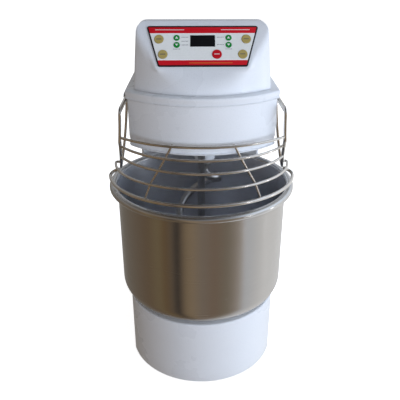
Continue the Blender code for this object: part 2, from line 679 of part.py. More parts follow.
def make_arm(side, name, guard_axis, origin):
    """A flat strap bent into a closed frame, with an eye round the hinge pin."""
    path = []
    for i, here in enumerate(ARM_CORNERS):
        after = Vector(ARM_CORNERS[(i + 1) % 4])
        path += [Vector(here).lerp(after, k / 5) for k in range(5)]
    bm = bmesh.new()
    loops = []
    for offset, face in ((-0.5, -0.5), (-0.5, 0.5), (0.5, 0.5), (0.5, -0.5)):
        ring = offset_loop(path, ARM_WIDTH * offset)
        loops.append([bm.verts.new((side * (arm_x(p.y) + ARM_THICKNESS * face), p.x, p.y)) for p in ring])
    for k in range(4):
        bridge(bm, loops[k], loops[(k + 1) % 4])
    shift = -Vector(origin)
    arm = add_mesh(name, bm, "wire_steel", guard_axis, shift)
    laid = Matrix.Translation((side * arm_x(HINGE_Z), HINGE_Y, HINGE_Z)) @ Matrix.Rotation(math.pi / 2, 4, "Y")
    half = ARM_THICKNESS / 2
    eye = [(0, half), (0.012, half), (0.012, -half), (0, -half)]
    boolean(arm, lathe("eye_" + name, eye, None, guard_axis, 16, shift, laid), "UNION")
    bore = [(0, 0.02), (0.0056, 0.02), (0.0056, -0.02), (0, -0.02)]
    boolean(arm, lathe("cut_" + name, bore, None, guard_axis, 16, shift, laid))


def make_hinge_pin(side, name, machine):
    wall = DRUM_HALF_WIDTH + GAP
    arm = arm_x(HINGE_Z)
    near, far = arm - ARM_THICKNESS / 2 - 0.0014, arm + ARM_THICKNESS / 2 + 0.0014
    profile = [(0, far + 0.003), (0.009, far + 0.003), (0.009, far), (0.005, far), (0.005, near)]
    profile += [(0.010, near), (0.010, wall), (0, wall)]
    laid = Matrix.Translation((0, HINGE_Y, HINGE_Z)) @ Matrix.Rotation(side * math.pi / 2, 4, "Y")
    lathe(name, profile, "steel", machine, 16, turn=laid)


def ring_shape(ring):
    """Height in front and beside, radius, y of the centre and wire radius of ring number ring."""
    if ring < 3:
        z, radius, centre = UPPER_RINGS[ring]
        return z, z, radius, centre, WIRE
    return LOWER_RINGS[ring - 3][:5]


def ring_y(ring, x):
    """y of the front of a ring at a given x."""
    radius, centre = ring_shape(ring)[2:4]
    return centre - math.sqrt(radius**2 - x**2)


def ring_z(ring, y):
    """z of a ring at a given y: the lower rings lean a little, their sides lower than their fronts."""
    front, beside, radius, centre = ring_shape(ring)[:4]
    return front + (beside - front) * min((y - centre + radius) / radius, 1.0)


def make_rings(guard_axis, origin):
    for i, (z, radius, centre) in enumerate(UPPER_RINGS):
        half = (arm_x(z) - ARM_THICKNESS / 2 - 0.0006) / (1 + WIRE / radius)
        side = math.asin(half / radius)
        points = [(x, y, z) for x, y in arc((0, centre), radius, -math.pi / 2 - side, -math.pi / 2 + side, 20)]
        wire("guard_ring_%d" % (i + 1), points, WIRE, "wire_steel", guard_axis, origin)
    for i, (_, _, radius, centre, thickness, end_y, end_z) in enumerate(LOWER_RINGS):
        side = math.pi / 2 + math.asin((end_y - centre) / radius)
        flat = arc((0, centre), radius, -math.pi / 2 - side, -math.pi / 2 + side, 30)
        points = [(x, y, ring_z(i + 3, y)) for x, y in flat]
        near, far = arm_x(end_z) + ARM_THICKNESS / 2 + thickness + 0.0006, points[-1][0]
        bend = (far - near) / 2
        curl = [(near + bend + x, end_y + y) for x, y in arc((0, 0), bend, 0, math.pi, 5)][1:]
        start_z = points[-1][2]
        right = [(x, y, start_z + (end_z - start_z) * (k + 1) / 5) for k, (x, y) in enumerate(curl)]
        left = [(-x, y, high) for x, y, high in reversed(right)]
        wire("guard_ring_%d" % (i + 4), left + points + right, thickness, "wire_steel", guard_axis, origin)


def make_ribs(guard_axis, origin):
    for side, name in ((-1, "guard_rib_left"), (1, "guard_rib_right")):
        points = []
        for i, x in enumerate(RIB_HALF_WIDTHS):
            centre, ring_wire = ring_shape(i)[3:]
            front = Vector((x, ring_y(i, x)))
            outward = Vector((x, front.y - centre)).normalized()
            behind = front - outward * (ring_wire + RIB_WIRE + 0.0006)
            points.append(Vector((side * behind.x, behind.y, ring_z(i, front.y))))
        top = points[0] + (points[0] - points[1]).normalized() * 0.001
        wire(name, [top] + points, RIB_WIRE, "wire_steel", guard_axis, origin)


def make_guard(machine):
    origin = (0, HINGE_Y, HINGE_Z)
    guard_axis = pivot("guard_axis", machine, origin)
    for side, where in ((-1, "left"), (1, "right")):
        make_hinge_pin(side, "hinge_pin_" + where, machine)
        make_arm(side, "guard_arm_" + where, guard_axis, origin)
    make_rings(guard_axis, origin)
    make_ribs(guard_axis, origin)


def main():
    clear_scene()
    machine = pivot("machine", None, (0, BOWL_Y, 0))
    make_base(machine)
    make_column(machine)
    make_head(machine)
    hood = make_hood(machine)
    make_panel(machine, hood)
    bowl_axis, hook_axis = make_drive(machine)
    make_bowl(bowl_axis)
    make_hook(hook_axis)
    make_bar_and_sleeve(machine)
    make_guard(machine)


main()
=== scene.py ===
"""The looks of the spiral dough mixer: fine surfaces and materials built round its CAD frame."""

import json
import math

import bmesh
import bpy
from mathutils import Matrix, Vector


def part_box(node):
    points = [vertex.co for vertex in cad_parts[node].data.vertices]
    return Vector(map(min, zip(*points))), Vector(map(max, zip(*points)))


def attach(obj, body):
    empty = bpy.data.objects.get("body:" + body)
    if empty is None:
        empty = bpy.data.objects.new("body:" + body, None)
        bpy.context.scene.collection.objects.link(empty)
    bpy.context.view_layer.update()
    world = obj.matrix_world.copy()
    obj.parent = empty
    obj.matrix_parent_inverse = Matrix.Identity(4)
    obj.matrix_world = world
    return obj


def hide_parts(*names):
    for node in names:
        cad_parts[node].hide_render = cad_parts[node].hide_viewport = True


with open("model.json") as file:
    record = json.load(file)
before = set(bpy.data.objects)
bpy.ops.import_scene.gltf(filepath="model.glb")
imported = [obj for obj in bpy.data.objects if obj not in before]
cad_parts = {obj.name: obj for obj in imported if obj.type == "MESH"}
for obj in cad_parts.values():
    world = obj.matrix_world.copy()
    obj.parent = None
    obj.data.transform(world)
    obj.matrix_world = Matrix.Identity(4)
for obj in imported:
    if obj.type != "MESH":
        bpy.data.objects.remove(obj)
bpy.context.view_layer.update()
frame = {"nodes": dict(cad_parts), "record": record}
NODES = frame["nodes"]

# The bowl's axis and the CAD's levels, all read from the frame
BOWL_Y = (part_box("bowl")[0].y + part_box("bowl")[1].y) / 2
RIM_RADIUS = (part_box("bowl")[1].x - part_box("bowl")[0].x) / 2
BODY_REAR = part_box("rear_cover")[1].y - BOWL_Y
BASE_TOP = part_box("base_shell")[1].z
HEAD_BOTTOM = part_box("head_drum")[0].z
DRUM_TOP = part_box("head_drum")[1].z
COLLAR_LOW, COLLAR_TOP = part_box("head_collar")[0].z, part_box("head_collar")[1].z
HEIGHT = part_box("hood")[1].z

# The design's own numbers, as in the CAD, in metres from the bowl's axis
BASE_RADIUS, BASE_HALF_WIDTH = 0.186, 0.1765
COLUMN_HALF_WIDTH = 0.160
COLUMN_FRONT_RADIUS = 0.245
DRUM_RADIUS, DRUM_HALF_WIDTH = 0.200, 0.150
COLLAR_PROUD = 0.0045
HOOD_RADIUS, HOOD_HALF_WIDTH, HOOD_REAR = 0.185, 0.1365, 0.490
HOOD_DRAFT, HOOD_CORNER = 0.0815, 0.018
RIDGE_Y, ROOF_SLOPE = -0.075, 0.115
PANEL_Y, PANEL_Z = -0.160, 0.7627
PANEL_SLOPE = math.radians(55)
PANEL_LENGTH, PANEL_BOTTOM_HALF, PANEL_TOP_HALF = 0.0825, 0.0845, 0.1070
PANEL_THICKNESS, KEY_TRAVEL = 0.002, 0.001
PANEL_SLANT = (PANEL_TOP_HALF - PANEL_BOTTOM_HALF) / PANEL_LENGTH
BOWL_RADIUS, BOWL_WALL, BOWL_CORNER = 0.200, 0.0025, 0.041
BOWL_BOTTOM, BEAD_Z = 0.178, 0.4635
HOOK_X, HOOK_Y, HOOK_ROD, HOOK_TOP = 0.010, 0.098, 0.0095, 0.470
# The spiral: turn in degrees from +X, reach from its own axis, height
HOOK_PATH = (
    (-130, 0.000, 0.4620),
    (-95, 0.003, 0.4530),
    (-50, 0.017, 0.4400),
    (0, 0.033, 0.4280),
    (90, 0.052, 0.3960),
    (180, 0.066, 0.3340),
    (270, 0.070, 0.2830),
    (360, 0.070, 0.2380),
    (450, 0.068, 0.1950),
)
BAR_RADIUS = 0.009
HINGE_X, HINGE_Y, HINGE_Z = 0.163, -0.030, 0.676
ARM_CORNERS = ((HINGE_Y, HINGE_Z), (-0.155, 0.677), (-0.141, 0.612), (-0.030, 0.508))
ARM_WIDTH, ARM_THICKNESS = 0.012, 0.005
WIRE, LOW_WIRE, RIB_WIRE = 0.0029, 0.0038, 0.0025
# Height, radius and y of the centre
UPPER_RINGS = ((0.620, 0.246, 0.034), (0.593, 0.203, -0.010), (0.566, 0.196, -0.018))
# Height in front and beside, radius, y of the centre, wire radius, y and z of the curled ends
LOWER_RINGS = (
    (0.5325, 0.5225, 0.198, -0.015, WIRE, -0.034, 0.5250),
    (0.4965, 0.4890, 0.2145, 0.000, LOW_WIRE, -0.030, 0.5060),
)
# How far the ribs are from the middle at each ring
RIB_HALF_WIDTHS = (0.062, 0.076, 0.0905, 0.110, 0.124)
# Clear distance between touching pieces, and the wall of the painted housings
GAP, SHEET = 0.0003, 0.003
HOOD_BOTTOM = 0.7133
GLAND = (0.100, BODY_REAR, 0.060)
SIDES = ((-1, "left"), (1, "right"))
# Turns local Z to point backwards, out of the flat rear
TO_REAR = Matrix.Rotation(-math.pi / 2, 4, "X")


# ---------------------------------------------------------------- materials


class Nodes:
    """A short way to write the nodes of a material or a world."""

    def __init__(self, owner, coords="Object"):
        self.owner = owner
        owner.use_nodes = True
        self.tree = owner.node_tree
        self.shader = self.tree.nodes.get("Principled BSDF")
        self.coords = self.add("ShaderNodeTexCoord").outputs[coords]

    def link(self, source, target):
        if isinstance(source, bpy.types.NodeSocket):
            self.tree.links.new(source, target)
        else:
            target.default_value = source

    def add(self, kind, **values):
        node = self.tree.nodes.new(kind)
        for key, value in values.items():
            setattr(node, key, value)
        return node

    def fill(self, node, *sockets, out=0):
        """Sets or links the node's inputs, given as (name or number, value), and gives its output."""
        for key, value in sockets:
            self.link(value, node.inputs[key])
        return node.outputs[out]

    def math(self, operation, *values):
        return self.fill(self.add("ShaderNodeMath", operation=operation), *enumerate(values))

    def axes(self):
        return self.fill(self.add("ShaderNodeSeparateXYZ"), (0, self.coords)).node.outputs

    def stretch(self, scale):
        node = self.add("ShaderNodeMapping")
        return self.fill(node, ("Vector", self.coords), ("Scale", scale))

    def noise(self, vector, scale, detail=3.0, roughness=0.5):
        node = self.add("ShaderNodeTexNoise")
        looks = (("Scale", scale), ("Detail", detail), ("Roughness", roughness))
        return self.fill(node, ("Vector", vector), *looks)

    def ramp(self, value, *stops):
        node = self.add("ShaderNodeValToRGB")
        elements = node.color_ramp.elements
        while len(elements) < len(stops):
            elements.new(0.5)
        for element, (place, colour) in zip(elements, stops):
            element.position = place
            element.color = (*colour, 1)
        return self.fill(node, (0, value))

    def spread(self, value, low, high, start=0.3, end=0.7, kind="LINEAR"):
        """Turns start to end into low to high, and holds the ends."""
        node = self.add("ShaderNodeMapRange", interpolation_type=kind)
        ends = (("From Min", start), ("From Max", end), ("To Min", low), ("To Max", high))
        return self.fill(node, ("Value", value), *ends)

    def mix(self, share, a, b):
        node = self.add("ShaderNodeMix", data_type="RGBA")
        a, b = ((*value, 1) if isinstance(value, tuple) else value for value in (a, b))
        return self.fill(node, ("Factor", share), (6, a), (7, b), out=2)

    def bump(self, height, strength, distance):
        node = self.add("ShaderNodeBump")
        bumped = self.fill(node, ("Height", height), ("Strength", strength), ("Distance", distance))
        self.link(bumped, self.shader.inputs["Normal"])

    def set(self, **values):
        """Sets the surface, by short names or by the shader's own names in small letters."""
        names = {
            "colour": "Base Color",
            "coat": "Coat Weight",
            "turn": "Anisotropic Rotation",
            "glow": "Emission Strength",
            "glow_colour": "Emission Color",
        }
        for key, value in values.items():
            socket = names.get(key, key.replace("_", " ").title())
            self.link((*value, 1) if isinstance(value, tuple) else value, self.shader.inputs[socket])
        return self.owner


def new_material(name):
    return Nodes(bpy.data.materials.new(name))


def make_paint():
    """Glossy white enamel: a slight orange peel, faint mottling and dust where it is rubbed."""
    n = new_material("white_enamel")
    peel = n.noise(n.coords, 420, 2)
    cloud = n.noise(n.coords, 7, 4)
    dust = n.noise(n.coords, 900, 2)
    colour = n.mix(n.spread(cloud, 0.0, 1.0), (0.820, 0.852, 0.898), (0.852, 0.879, 0.916))
    colour = n.mix(n.ramp(dust, (0.30, (1, 1, 1)), (0.36, (0, 0, 0))), colour, (0.66, 0.68, 0.71))
    n.bump(peel, 0.05, 0.0004)
    return n.set(colour=colour, roughness=n.spread(cloud, 0.24, 0.34), coat=0.35, coat_roughness=0.10)


def make_brushed(name, colour, shade, low, high):
    """Stainless steel with fine grooves round the vertical axis through the object's origin."""
    n = new_material(name)
    lines = n.noise(n.stretch((3, 3, 900)), 1.0, 3, 0.7)
    wide = n.noise(n.stretch((6, 6, 60)), 1.0, 3)
    spots = n.noise(n.coords, 14, 4)
    tint = n.mix(n.spread(lines, 0.2, 0.8), colour, shade)
    tint = n.mix(n.spread(spots, 0.0, 0.2), tint, shade)
    rough = n.math("ADD", n.spread(lines, low, high), n.spread(wide, -0.01, 0.02))
    around = n.add("ShaderNodeTangent", direction_type="RADIAL", axis="Z").outputs[0]
    n.bump(lines, 0.03, 0.0001)
    return n.set(colour=tint, metallic=1.0, roughness=rough, tangent=around, anisotropic=0.9, turn=0.25)


def make_polished(name, colour, shade, low, high):
    """Bright drawn or turned steel with fine scratches and faint handling marks."""
    n = new_material(name)
    scratch = n.noise(n.stretch((160, 160, 160)), 1.0, 4, 0.7)
    marks = n.noise(n.coords, 26, 4)
    tint = n.mix(n.spread(marks, 0, 1), colour, shade)
    n.bump(scratch, 0.06, 0.0002)
    return n.set(colour=tint, metallic=1.0, roughness=n.spread(marks, low, high))


def make_cast(name, colour, shade, metallic, low, high, grain=260):
    """A plain machined, moulded or painted surface with a fine grain."""
    n = new_material(name)
    fine = n.noise(n.coords, grain, 3)
    wide = n.noise(n.coords, 18, 4)
    tint = n.mix(n.spread(wide, 0, 1), colour, shade)
    n.bump(fine, 0.12, 0.0003)
    return n.set(colour=tint, metallic=metallic, roughness=n.spread(wide, low, high))


def make_panel_print():
    """The printed film: black frame, red bands at the top and bottom, a grey field with a white edge.

    It reads the plate's own x across and y up the slope."""
    n = new_material("panel_print")
    frame_width, side_margin, white_edge = 0.0029, 0.0040, 0.0022
    field_low, field_high = 0.0126, 0.0675
    x, up, _ = n.axes()
    edge = n.math("MULTIPLY_ADD", up, PANEL_SLANT, PANEL_BOTTOM_HALF)
    side = n.math("SUBTRACT", edge, n.math("ABSOLUTE", x))
    inside = n.math("MINIMUM", side, n.math("MINIMUM", up, n.math("SUBTRACT", PANEL_LENGTH, up)))
    field = n.math("MINIMUM", n.math("SUBTRACT", up, field_low), n.math("SUBTRACT", field_high, up))
    rim = n.math("MINIMUM", n.math("SUBTRACT", side, side_margin), n.math("SUBTRACT", field, white_edge))
    mottle = n.noise(n.coords, 300, 3)
    grey = n.mix(n.spread(mottle, 0, 1), (0.89, 0.91, 0.89), (0.93, 0.95, 0.93))
    red = n.mix(n.spread(mottle, 0, 1), (0.66, 0.006, 0.016), (0.72, 0.009, 0.022))
    colour = n.mix(n.math("GREATER_THAN", rim, 0.0), (0.97, 0.98, 0.97), grey)
    colour = n.mix(n.math("GREATER_THAN", field, 0.0), red, colour)
    colour = n.mix(n.math("GREATER_THAN", inside, frame_width), (0.006, 0.006, 0.008), colour)
    n.bump(mottle, 0.05, 0.0002)
    return n.set(colour=colour, roughness=n.spread(mottle, 0.28, 0.36))


def make_materials():
    return {
        "paint": make_paint(),
        "bowl": make_brushed("brushed_bowl", (0.61, 0.59, 0.56), (0.56, 0.54, 0.51), 0.20, 0.26),
        # The bowl's inside: a more matt brushed finish, with its colour lighter and bluer than the outside's
        # as painted light, standing in for the light the open bowl catches
        "bowl_inside_matt_painted_light": make_brushed("brushed_inside_painted_light", (0.78, 0.80, 0.85), (0.70, 0.72, 0.77), 0.33, 0.41),
        "bead": make_polished("rolled_rim", (0.68, 0.67, 0.65), (0.62, 0.61, 0.59), 0.18, 0.27),
        "steel": make_polished("turned_steel", (0.66, 0.66, 0.66), (0.54, 0.54, 0.54), 0.26, 0.40),
        "wire_steel": make_polished("polished_wire", (0.80, 0.765, 0.71), (0.70, 0.66, 0.60), 0.08, 0.17),
        "bolt": make_polished("bolt_steel", (0.30, 0.29, 0.28), (0.20, 0.20, 0.20), 0.25, 0.4),
        "dark_steel": make_cast("machined_iron", (0.16, 0.16, 0.17), (0.09, 0.09, 0.095), 1.0, 0.35, 0.55),
        "panel": make_panel_print(),
        "white": make_cast("white_ink", (0.86, 0.88, 0.88), (0.80, 0.82, 0.82), 0.0, 0.30, 0.38, 400),
        "ink": make_cast("grey_ink", (0.10, 0.10, 0.11), (0.15, 0.15, 0.16), 0.0, 0.35, 0.45, 400),
        "orange": make_cast("orange_ink", (0.80, 0.22, 0.04), (0.70, 0.18, 0.03), 0.0, 0.35, 0.45, 400),
        "display": make_cast(
            "smoked_window", (0.004, 0.004, 0.005), (0.01, 0.01, 0.012), 0.0, 0.05, 0.12, 90),
        "gold_key": make_cast("gold_key", (0.52, 0.41, 0.14), (0.44, 0.34, 0.105), 0.0, 0.30, 0.42, 500),
        "green_key": make_cast("green_key", (0.005, 0.31, 0.04), (0.004, 0.24, 0.03), 0.0, 0.30, 0.42, 500),
        "red_key": make_cast("red_key", (0.66, 0.005, 0.016), (0.56, 0.004, 0.012), 0.0, 0.30, 0.42, 500),
        "board": make_cast("circuit_board", (0.01, 0.12, 0.05), (0.015, 0.16, 0.06), 0.0, 0.4, 0.55, 200),
        "rubber": make_cast("black_rubber", (0.022, 0.022, 0.024), (0.04, 0.04, 0.042), 0.0, 0.70, 0.88, 380),
        "black_plastic": make_cast(
            "black_plastic", (0.02, 0.02, 0.022), (0.03, 0.03, 0.033), 0.0, 0.38, 0.5, 500),
        "motor_paint": make_cast("motor_paint", (0.06, 0.11, 0.20), (0.045, 0.09, 0.16), 0.0, 0.35, 0.5, 240),
    }


# ---------------------------------------------------------------- meshes


def new_object(name, bm):
    mesh = bpy.data.meshes.new(name)
    bm.to_mesh(mesh)
    bm.free()
    obj = bpy.data.objects.new(name, mesh)
    bpy.context.scene.collection.objects.link(obj)
    return obj


def add_piece(name, bm, looks, body, nodes=(), matrix=None, sharp=40):
    """Makes a shaded piece that rides on a body and stands for the given CAD nodes.

    Without a matrix its origin is on the bowl's axis, so that round textures run round that axis."""
    bmesh.ops.remove_doubles(bm, verts=bm.verts, dist=1e-6)
    bmesh.ops.recalc_face_normals(bm, faces=bm.faces)
    obj = new_object(name, bm)
    obj.data.shade_smooth()
    obj.data.set_sharp_from_angle(angle=math.radians(sharp))
    for look in looks if isinstance(looks, list) else [looks]:
        obj.data.materials.append(MATERIALS[look])
    obj.matrix_world = matrix or Matrix.Translation((0, BOWL_Y, 0))
    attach(obj, body)
    if nodes:
        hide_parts(*nodes)
    return obj


def rectangle(x0, y0, x1, y1):
    return [(x0, y0), (x1, y0), (x1, y1), (x0, y1)]


def disc(radius, low, high):
    """The profile of a solid cylinder, for turned()."""
    return [(0, high), (radius, high), (radius, low), (0, low)]


def arc(centre, radius, start, end, steps):
    angles = [start + (end - start) * i / steps for i in range(steps + 1)]
    return [(centre[0] + radius * math.cos(a), centre[1] + radius * math.sin(a)) for a in angles]


def d_plan(radius, half_width, rear, inset=0.0, front_corner=0.012, rear_corner=0.012, steps=72):
    """A round front, straight sides and a flat rear with round corners, as (x, y)."""
    radius, half_width, rear = radius - inset, half_width - inset, rear - inset
    rear_corner = max(rear_corner - inset, 0.001)
    cx = half_width - front_corner
    cy = -math.sqrt((radius - front_corner) ** 2 - cx**2)
    turn = math.atan2(cy, cx)
    points = arc((-cx, cy), front_corner, -math.pi, -math.pi - turn, 8)
    points += arc((0, 0), radius, -math.pi - turn, turn, steps)[1:-1]
    points += arc((cx, cy), front_corner, turn, 0, 8)
    points += arc((half_width - rear_corner, rear - rear_corner), rear_corner, 0, math.pi / 2, 8)
    points += arc((rear_corner - half_width, rear - rear_corner), rear_corner, math.pi / 2, math.pi, 8)
    return points


def rounded(points, radius, steps=5):
    """The closed outline with its corners rounded, where they turn by more than 25 degrees."""
    made = []
    for i, here in enumerate(points):
        p, a, b = Vector(here), Vector(points[i - 1]), Vector(points[(i + 1) % len(points)])
        before, after = (a - p).normalized(), (b - p).normalized()
        angle = before.angle(after)
        if angle > math.radians(155):
            made.append(tuple(p))
            continue
        centre = p + (before + after).normalized() * radius / math.sin(angle / 2)
        first = p + before * radius / math.tan(angle / 2) - centre
        last = p + after * radius / math.tan(angle / 2) - centre
        start = math.atan2(first.y, first.x)
        sweep = math.atan2(last.y, last.x) - start
        sweep = (sweep + math.pi) % (2 * math.pi) - math.pi
        made += arc(centre, radius, start, start + sweep, steps)
    return made


def column_plan(inset):
    half, radius = COLUMN_HALF_WIDTH - inset, COLUMN_FRONT_RADIUS + inset
    rear = BODY_REAR - 0.0023 - inset
    side = math.asin(half / radius)
    front = arc((0, 0), radius, math.pi / 2 + side, math.pi / 2 - side, 48)
    return rounded(front + [(half, rear), (-half, rear)], max(0.005 - inset, 0.0012))


def trapezoid(inset):
    """The panel's outline in its own plane, x across and y up the slope."""
    low, high = inset, PANEL_LENGTH - inset
    side = inset * math.sqrt(1 + PANEL_SLANT**2)
    bottom, top = PANEL_BOTTOM_HALF + PANEL_SLANT * low - side, PANEL_BOTTOM_HALF + PANEL_SLANT * high - side
    return rounded([(-bottom, low), (bottom, low), (top, high), (-top, high)], 0.004, 6)


def ring_of(bm, outline, z):
    return [bm.verts.new((x, y, z)) for x, y in outline]


def bridge(bm, low, high):
    count = len(low)
    for i in range(count):
        j = (i + 1) % count
        bm.faces.new((low[i], low[j], high[j], high[i]))


def loft(bm, levels, closed=True):
    rings = [ring_of(bm, outline, z) for outline, z in levels]
    for low, high in zip(rings, rings[1:]):
        bridge(bm, low, high)
    if closed:
        bm.faces.new(rings[0])
        bm.faces.new(rings[-1])
    return rings


def edge_levels(plan, z, radius, direction, steps=5):
    """Levels round an edge at height z: direction is 1 for a top edge and -1 for a bottom one."""
    levels = []
    for i in range(steps + 1):
        a = math.pi / 2 * i / steps
        levels.append((plan(radius * (1 - math.cos(a))), z - direction * radius * (1 - math.sin(a))))
    return levels if direction > 0 else levels[::-1]


def hollow(bm, outer, inner, closed=True):
    """A wall between two lists of levels that both start at the open end."""
    outside, inside = loft(bm, outer, False), loft(bm, inner, False)
    bridge(bm, outside[0], inside[0])
    if closed:
        bm.faces.new(outside[-1])
        bm.faces.new(inside[-1])
    else:
        bridge(bm, outside[-1], inside[-1])


def turned(profile, steps, at=(0, 0, 0), turn=None, bm=None):
    """Adds a profile of (radius, z) turned about Z, moved to a place."""
    own = bmesh.new()
    verts = [own.verts.new((r, 0, z)) for r, z in profile]
    pairs = list(zip(verts, verts[1:]))
    if profile[0][0] > 0 or profile[-1][0] > 0:
        pairs.append((verts[-1], verts[0]))
    edges = [own.edges.new(pair) for pair in pairs]
    bmesh.ops.spin(own, geom=verts + edges, cent=(0, 0, 0), axis=(0, 0, 1), angle=2 * math.pi, steps=steps,
                   use_merge=True)
    bmesh.ops.remove_doubles(own, verts=own.verts, dist=1e-6)
    bmesh.ops.transform(own, matrix=Matrix.Translation(at) @ (turn or Matrix.Identity(4)), verts=own.verts)
    if bm is None:
        return own
    merge(bm, own)
    return bm


def merge(bm, other, matrix=None):
    if matrix:
        bmesh.ops.transform(other, matrix=matrix, verts=other.verts)
    mesh = bpy.data.meshes.new("part")
    other.to_mesh(mesh)
    other.free()
    bm.from_mesh(mesh)
    bpy.data.meshes.remove(mesh)


def soften(profile, radius, steps=3):
    """A (radius, z) profile with small rounds at its corners, its ends on the axis left alone."""
    closed = profile[0][0] > 0 or profile[-1][0] > 0
    made = []
    for i, here in enumerate(profile):
        if not closed and i in (0, len(profile) - 1):
            made.append(here)
            continue
        p, a, b = Vector(here), Vector(profile[i - 1]), Vector(profile[(i + 1) % len(profile)])
        r = min(radius, (a - p).length * 0.45, (b - p).length * 0.45)
        for k in range(steps + 1):
            t = k / steps
            one, two = p.lerp(a, r / (a - p).length), p.lerp(b, r / (b - p).length)
            made.append(tuple(one.lerp(p, t).lerp(p.lerp(two, t), t)))
    return made


def sweep(points, radius, sides, round_ends=True):
    """A round bar through points. radius is a number, or a function of the share of the way along."""
    own = bmesh.new()
    size = radius if callable(radius) else lambda share: radius
    points = [Vector(p) for p in points]
    path = list(points)
    if round_ends:
        r0, r1 = size(0.0), size(1.0)
        d0, d1 = (points[0] - points[1]).normalized(), (points[-1] - points[-2]).normalized()
        head = [(points[0] + d0 * r0 * math.sin(a), math.cos(a)) for a in (1.35, 0.95, 0.5)]
        tail = [(points[-1] + d1 * r1 * math.sin(a), math.cos(a)) for a in (0.5, 0.95, 1.35)]
        path = [p for p, _ in head] + points + [p for p, _ in tail]
    rings = []
    normal = None
    for i, p in enumerate(path):
        ahead = (path[min(i + 1, len(path) - 1)] - path[max(i - 1, 0)]).normalized()
        if normal is None:
            helper = Vector((0, 0, 1)) if abs(ahead.z) < 0.9 else Vector((1, 0, 0))
            normal = ahead.cross(helper).normalized()
        normal = (normal - ahead * normal.dot(ahead)).normalized()
        other = ahead.cross(normal)
        share = min(max((i - 3 * round_ends) / max(len(points) - 1, 1), 0), 1)
        r = size(share)
        if round_ends and i < 3:
            r *= head[i][1]
        elif round_ends and i >= len(path) - 3:
            r *= tail[i - len(path) + 3][1]
        circle = [2 * math.pi * k / sides for k in range(sides)]
        rings.append([own.verts.new(p + (normal * math.cos(a) + other * math.sin(a)) * r) for a in circle])
    for low, high in zip(rings, rings[1:]):
        bridge(own, low, high)
    own.faces.new(rings[0])
    own.faces.new(rings[-1])
    return own


def smooth_step(t):
    t = min(max(t, 0.0), 1.0)
    return t * t * (3 - 2 * t)


def block(bm, low, high):
    """Adds a box between two corners to bm."""
    own = bmesh.new()
    middle, size = (Vector(low) + Vector(high)) / 2, Vector(high) - Vector(low)
    bmesh.ops.create_cube(own, size=1, matrix=Matrix.Translation(middle) @ Matrix.Diagonal((*size, 1)))
    merge(bm, own)


# ---------------------------------------------------------------- body


def make_base():
    def plan(inset):
        return d_plan(BASE_RADIUS, BASE_HALF_WIDTH, BODY_REAR, inset, 0.004, 0.03, 96)

    outer = [(plan(0.0026), 0.003), (plan(0.0016), 0.0032), (plan(0.0004), 0.0042), (plan(0), 0.006)]
    outer += [(plan(0), z) for z in (0.04, 0.08, 0.12)] + edge_levels(plan, BASE_TOP, 0.004, 1, 6)
    inner = [(plan(SHEET), 0.003), (plan(SHEET), BASE_TOP - SHEET)]
    bm = bmesh.new()
    hollow(bm, outer, inner)
    base = add_piece("base_housing", bm, "paint", "machine_frame", ["base_shell"], sharp=60)
    cut_with(base, "cutter_spindle", turned(disc(0.058, 0.15, 0.2), 64))
    bm = bmesh.new()
    block(bm, (-0.12, 0.27, 0.15), (0.12, 0.49, 0.18))
    cut_with(base, "cutter_column", bm)
    forwards = Matrix.Rotation(math.pi / 2, 4, "X")
    cut_with(base, "cutter_gland", turned(disc(0.0085, -0.01, 0.01), 32, GLAND, forwards))


def cut_with(obj, name, bm):
    """Cuts bm out of obj and leaves a plain mesh."""
    bmesh.ops.recalc_face_normals(bm, faces=bm.faces)
    tool = new_object(name, bm)
    tool.matrix_world = Matrix.Translation((0, BOWL_Y, 0))
    modifier = obj.modifiers.new(name, "BOOLEAN")
    modifier.operation = "DIFFERENCE"
    modifier.solver = "EXACT"
    modifier.object = tool
    bpy.context.view_layer.update()
    result = bpy.data.meshes.new_from_object(obj.evaluated_get(bpy.context.evaluated_depsgraph_get()))
    obj.modifiers.clear()
    obj.data = result
    bpy.data.objects.remove(tool)


def make_column():
    top = HEAD_BOTTOM - GAP
    outer = [(column_plan(0.0015), BASE_TOP + GAP), (column_plan(0), BASE_TOP + 0.002)]
    outer += [(column_plan(0), z) for z in (0.3, 0.45)] + edge_levels(column_plan, top, 0.004, 1, 4)
    inner = [(column_plan(SHEET), BASE_TOP + GAP), (column_plan(SHEET), top - SHEET)]
    bm = bmesh.new()
    hollow(bm, outer, inner)
    column = add_piece("column_housing", bm, "paint", "machine_frame", ["column_shell"], sharp=60)
    bm = bmesh.new()
    block(bm, (-0.14, 0.48, 0.19), (0.14, 0.53, 0.58))
    cut_with(column, "cutter_back", bm)
    bm = bmesh.new()
    block(bm, (-0.10, 0.265, top - 0.02), (0.10, 0.49, top + 0.02))
    cut_with(column, "cutter_top", bm)


def make_rear_cover():
    """A sheet with two rows of louvre slots, held by eight screws."""
    outline = rounded(rectangle(-0.152, 0.180, 0.152, 0.590), 0.004)
    bm = bmesh.new()
    loft(bm, [([(x, -z) for x, z in outline], 0), ([(x * 0.998, -z) for x, z in outline], -0.002)])
    bmesh.ops.transform(bm, matrix=Matrix.Translation((0, BODY_REAR, 0)) @ TO_REAR, verts=bm.verts)
    cover = add_piece("rear_cover_sheet", bm, "paint", "machine_frame", ["rear_cover"])
    bm = bmesh.new()
    for row in range(6):
        for x in (-0.06, 0.06):
            block(bm, (x - 0.04, 0.5, 0.235 + 0.012 * row), (x + 0.04, 0.52, 0.240 + 0.012 * row))
    cut_with(cover, "cutter_vents", bm)
    bm = bmesh.new()
    screw = [(0, 0.0022), (0.0012, 0.0022), (0.0032, 0.0016), (0.0042, 0.0004), (0.0042, 0.0), (0, 0)]
    for x in (-0.144, 0.144):
        for z in (0.185, 0.315, 0.450, 0.580):
            turned(screw, 20, (x, BODY_REAR, z), TO_REAR, bm)
    add_piece("rear_cover_screws", bm, "bolt", "machine_frame")


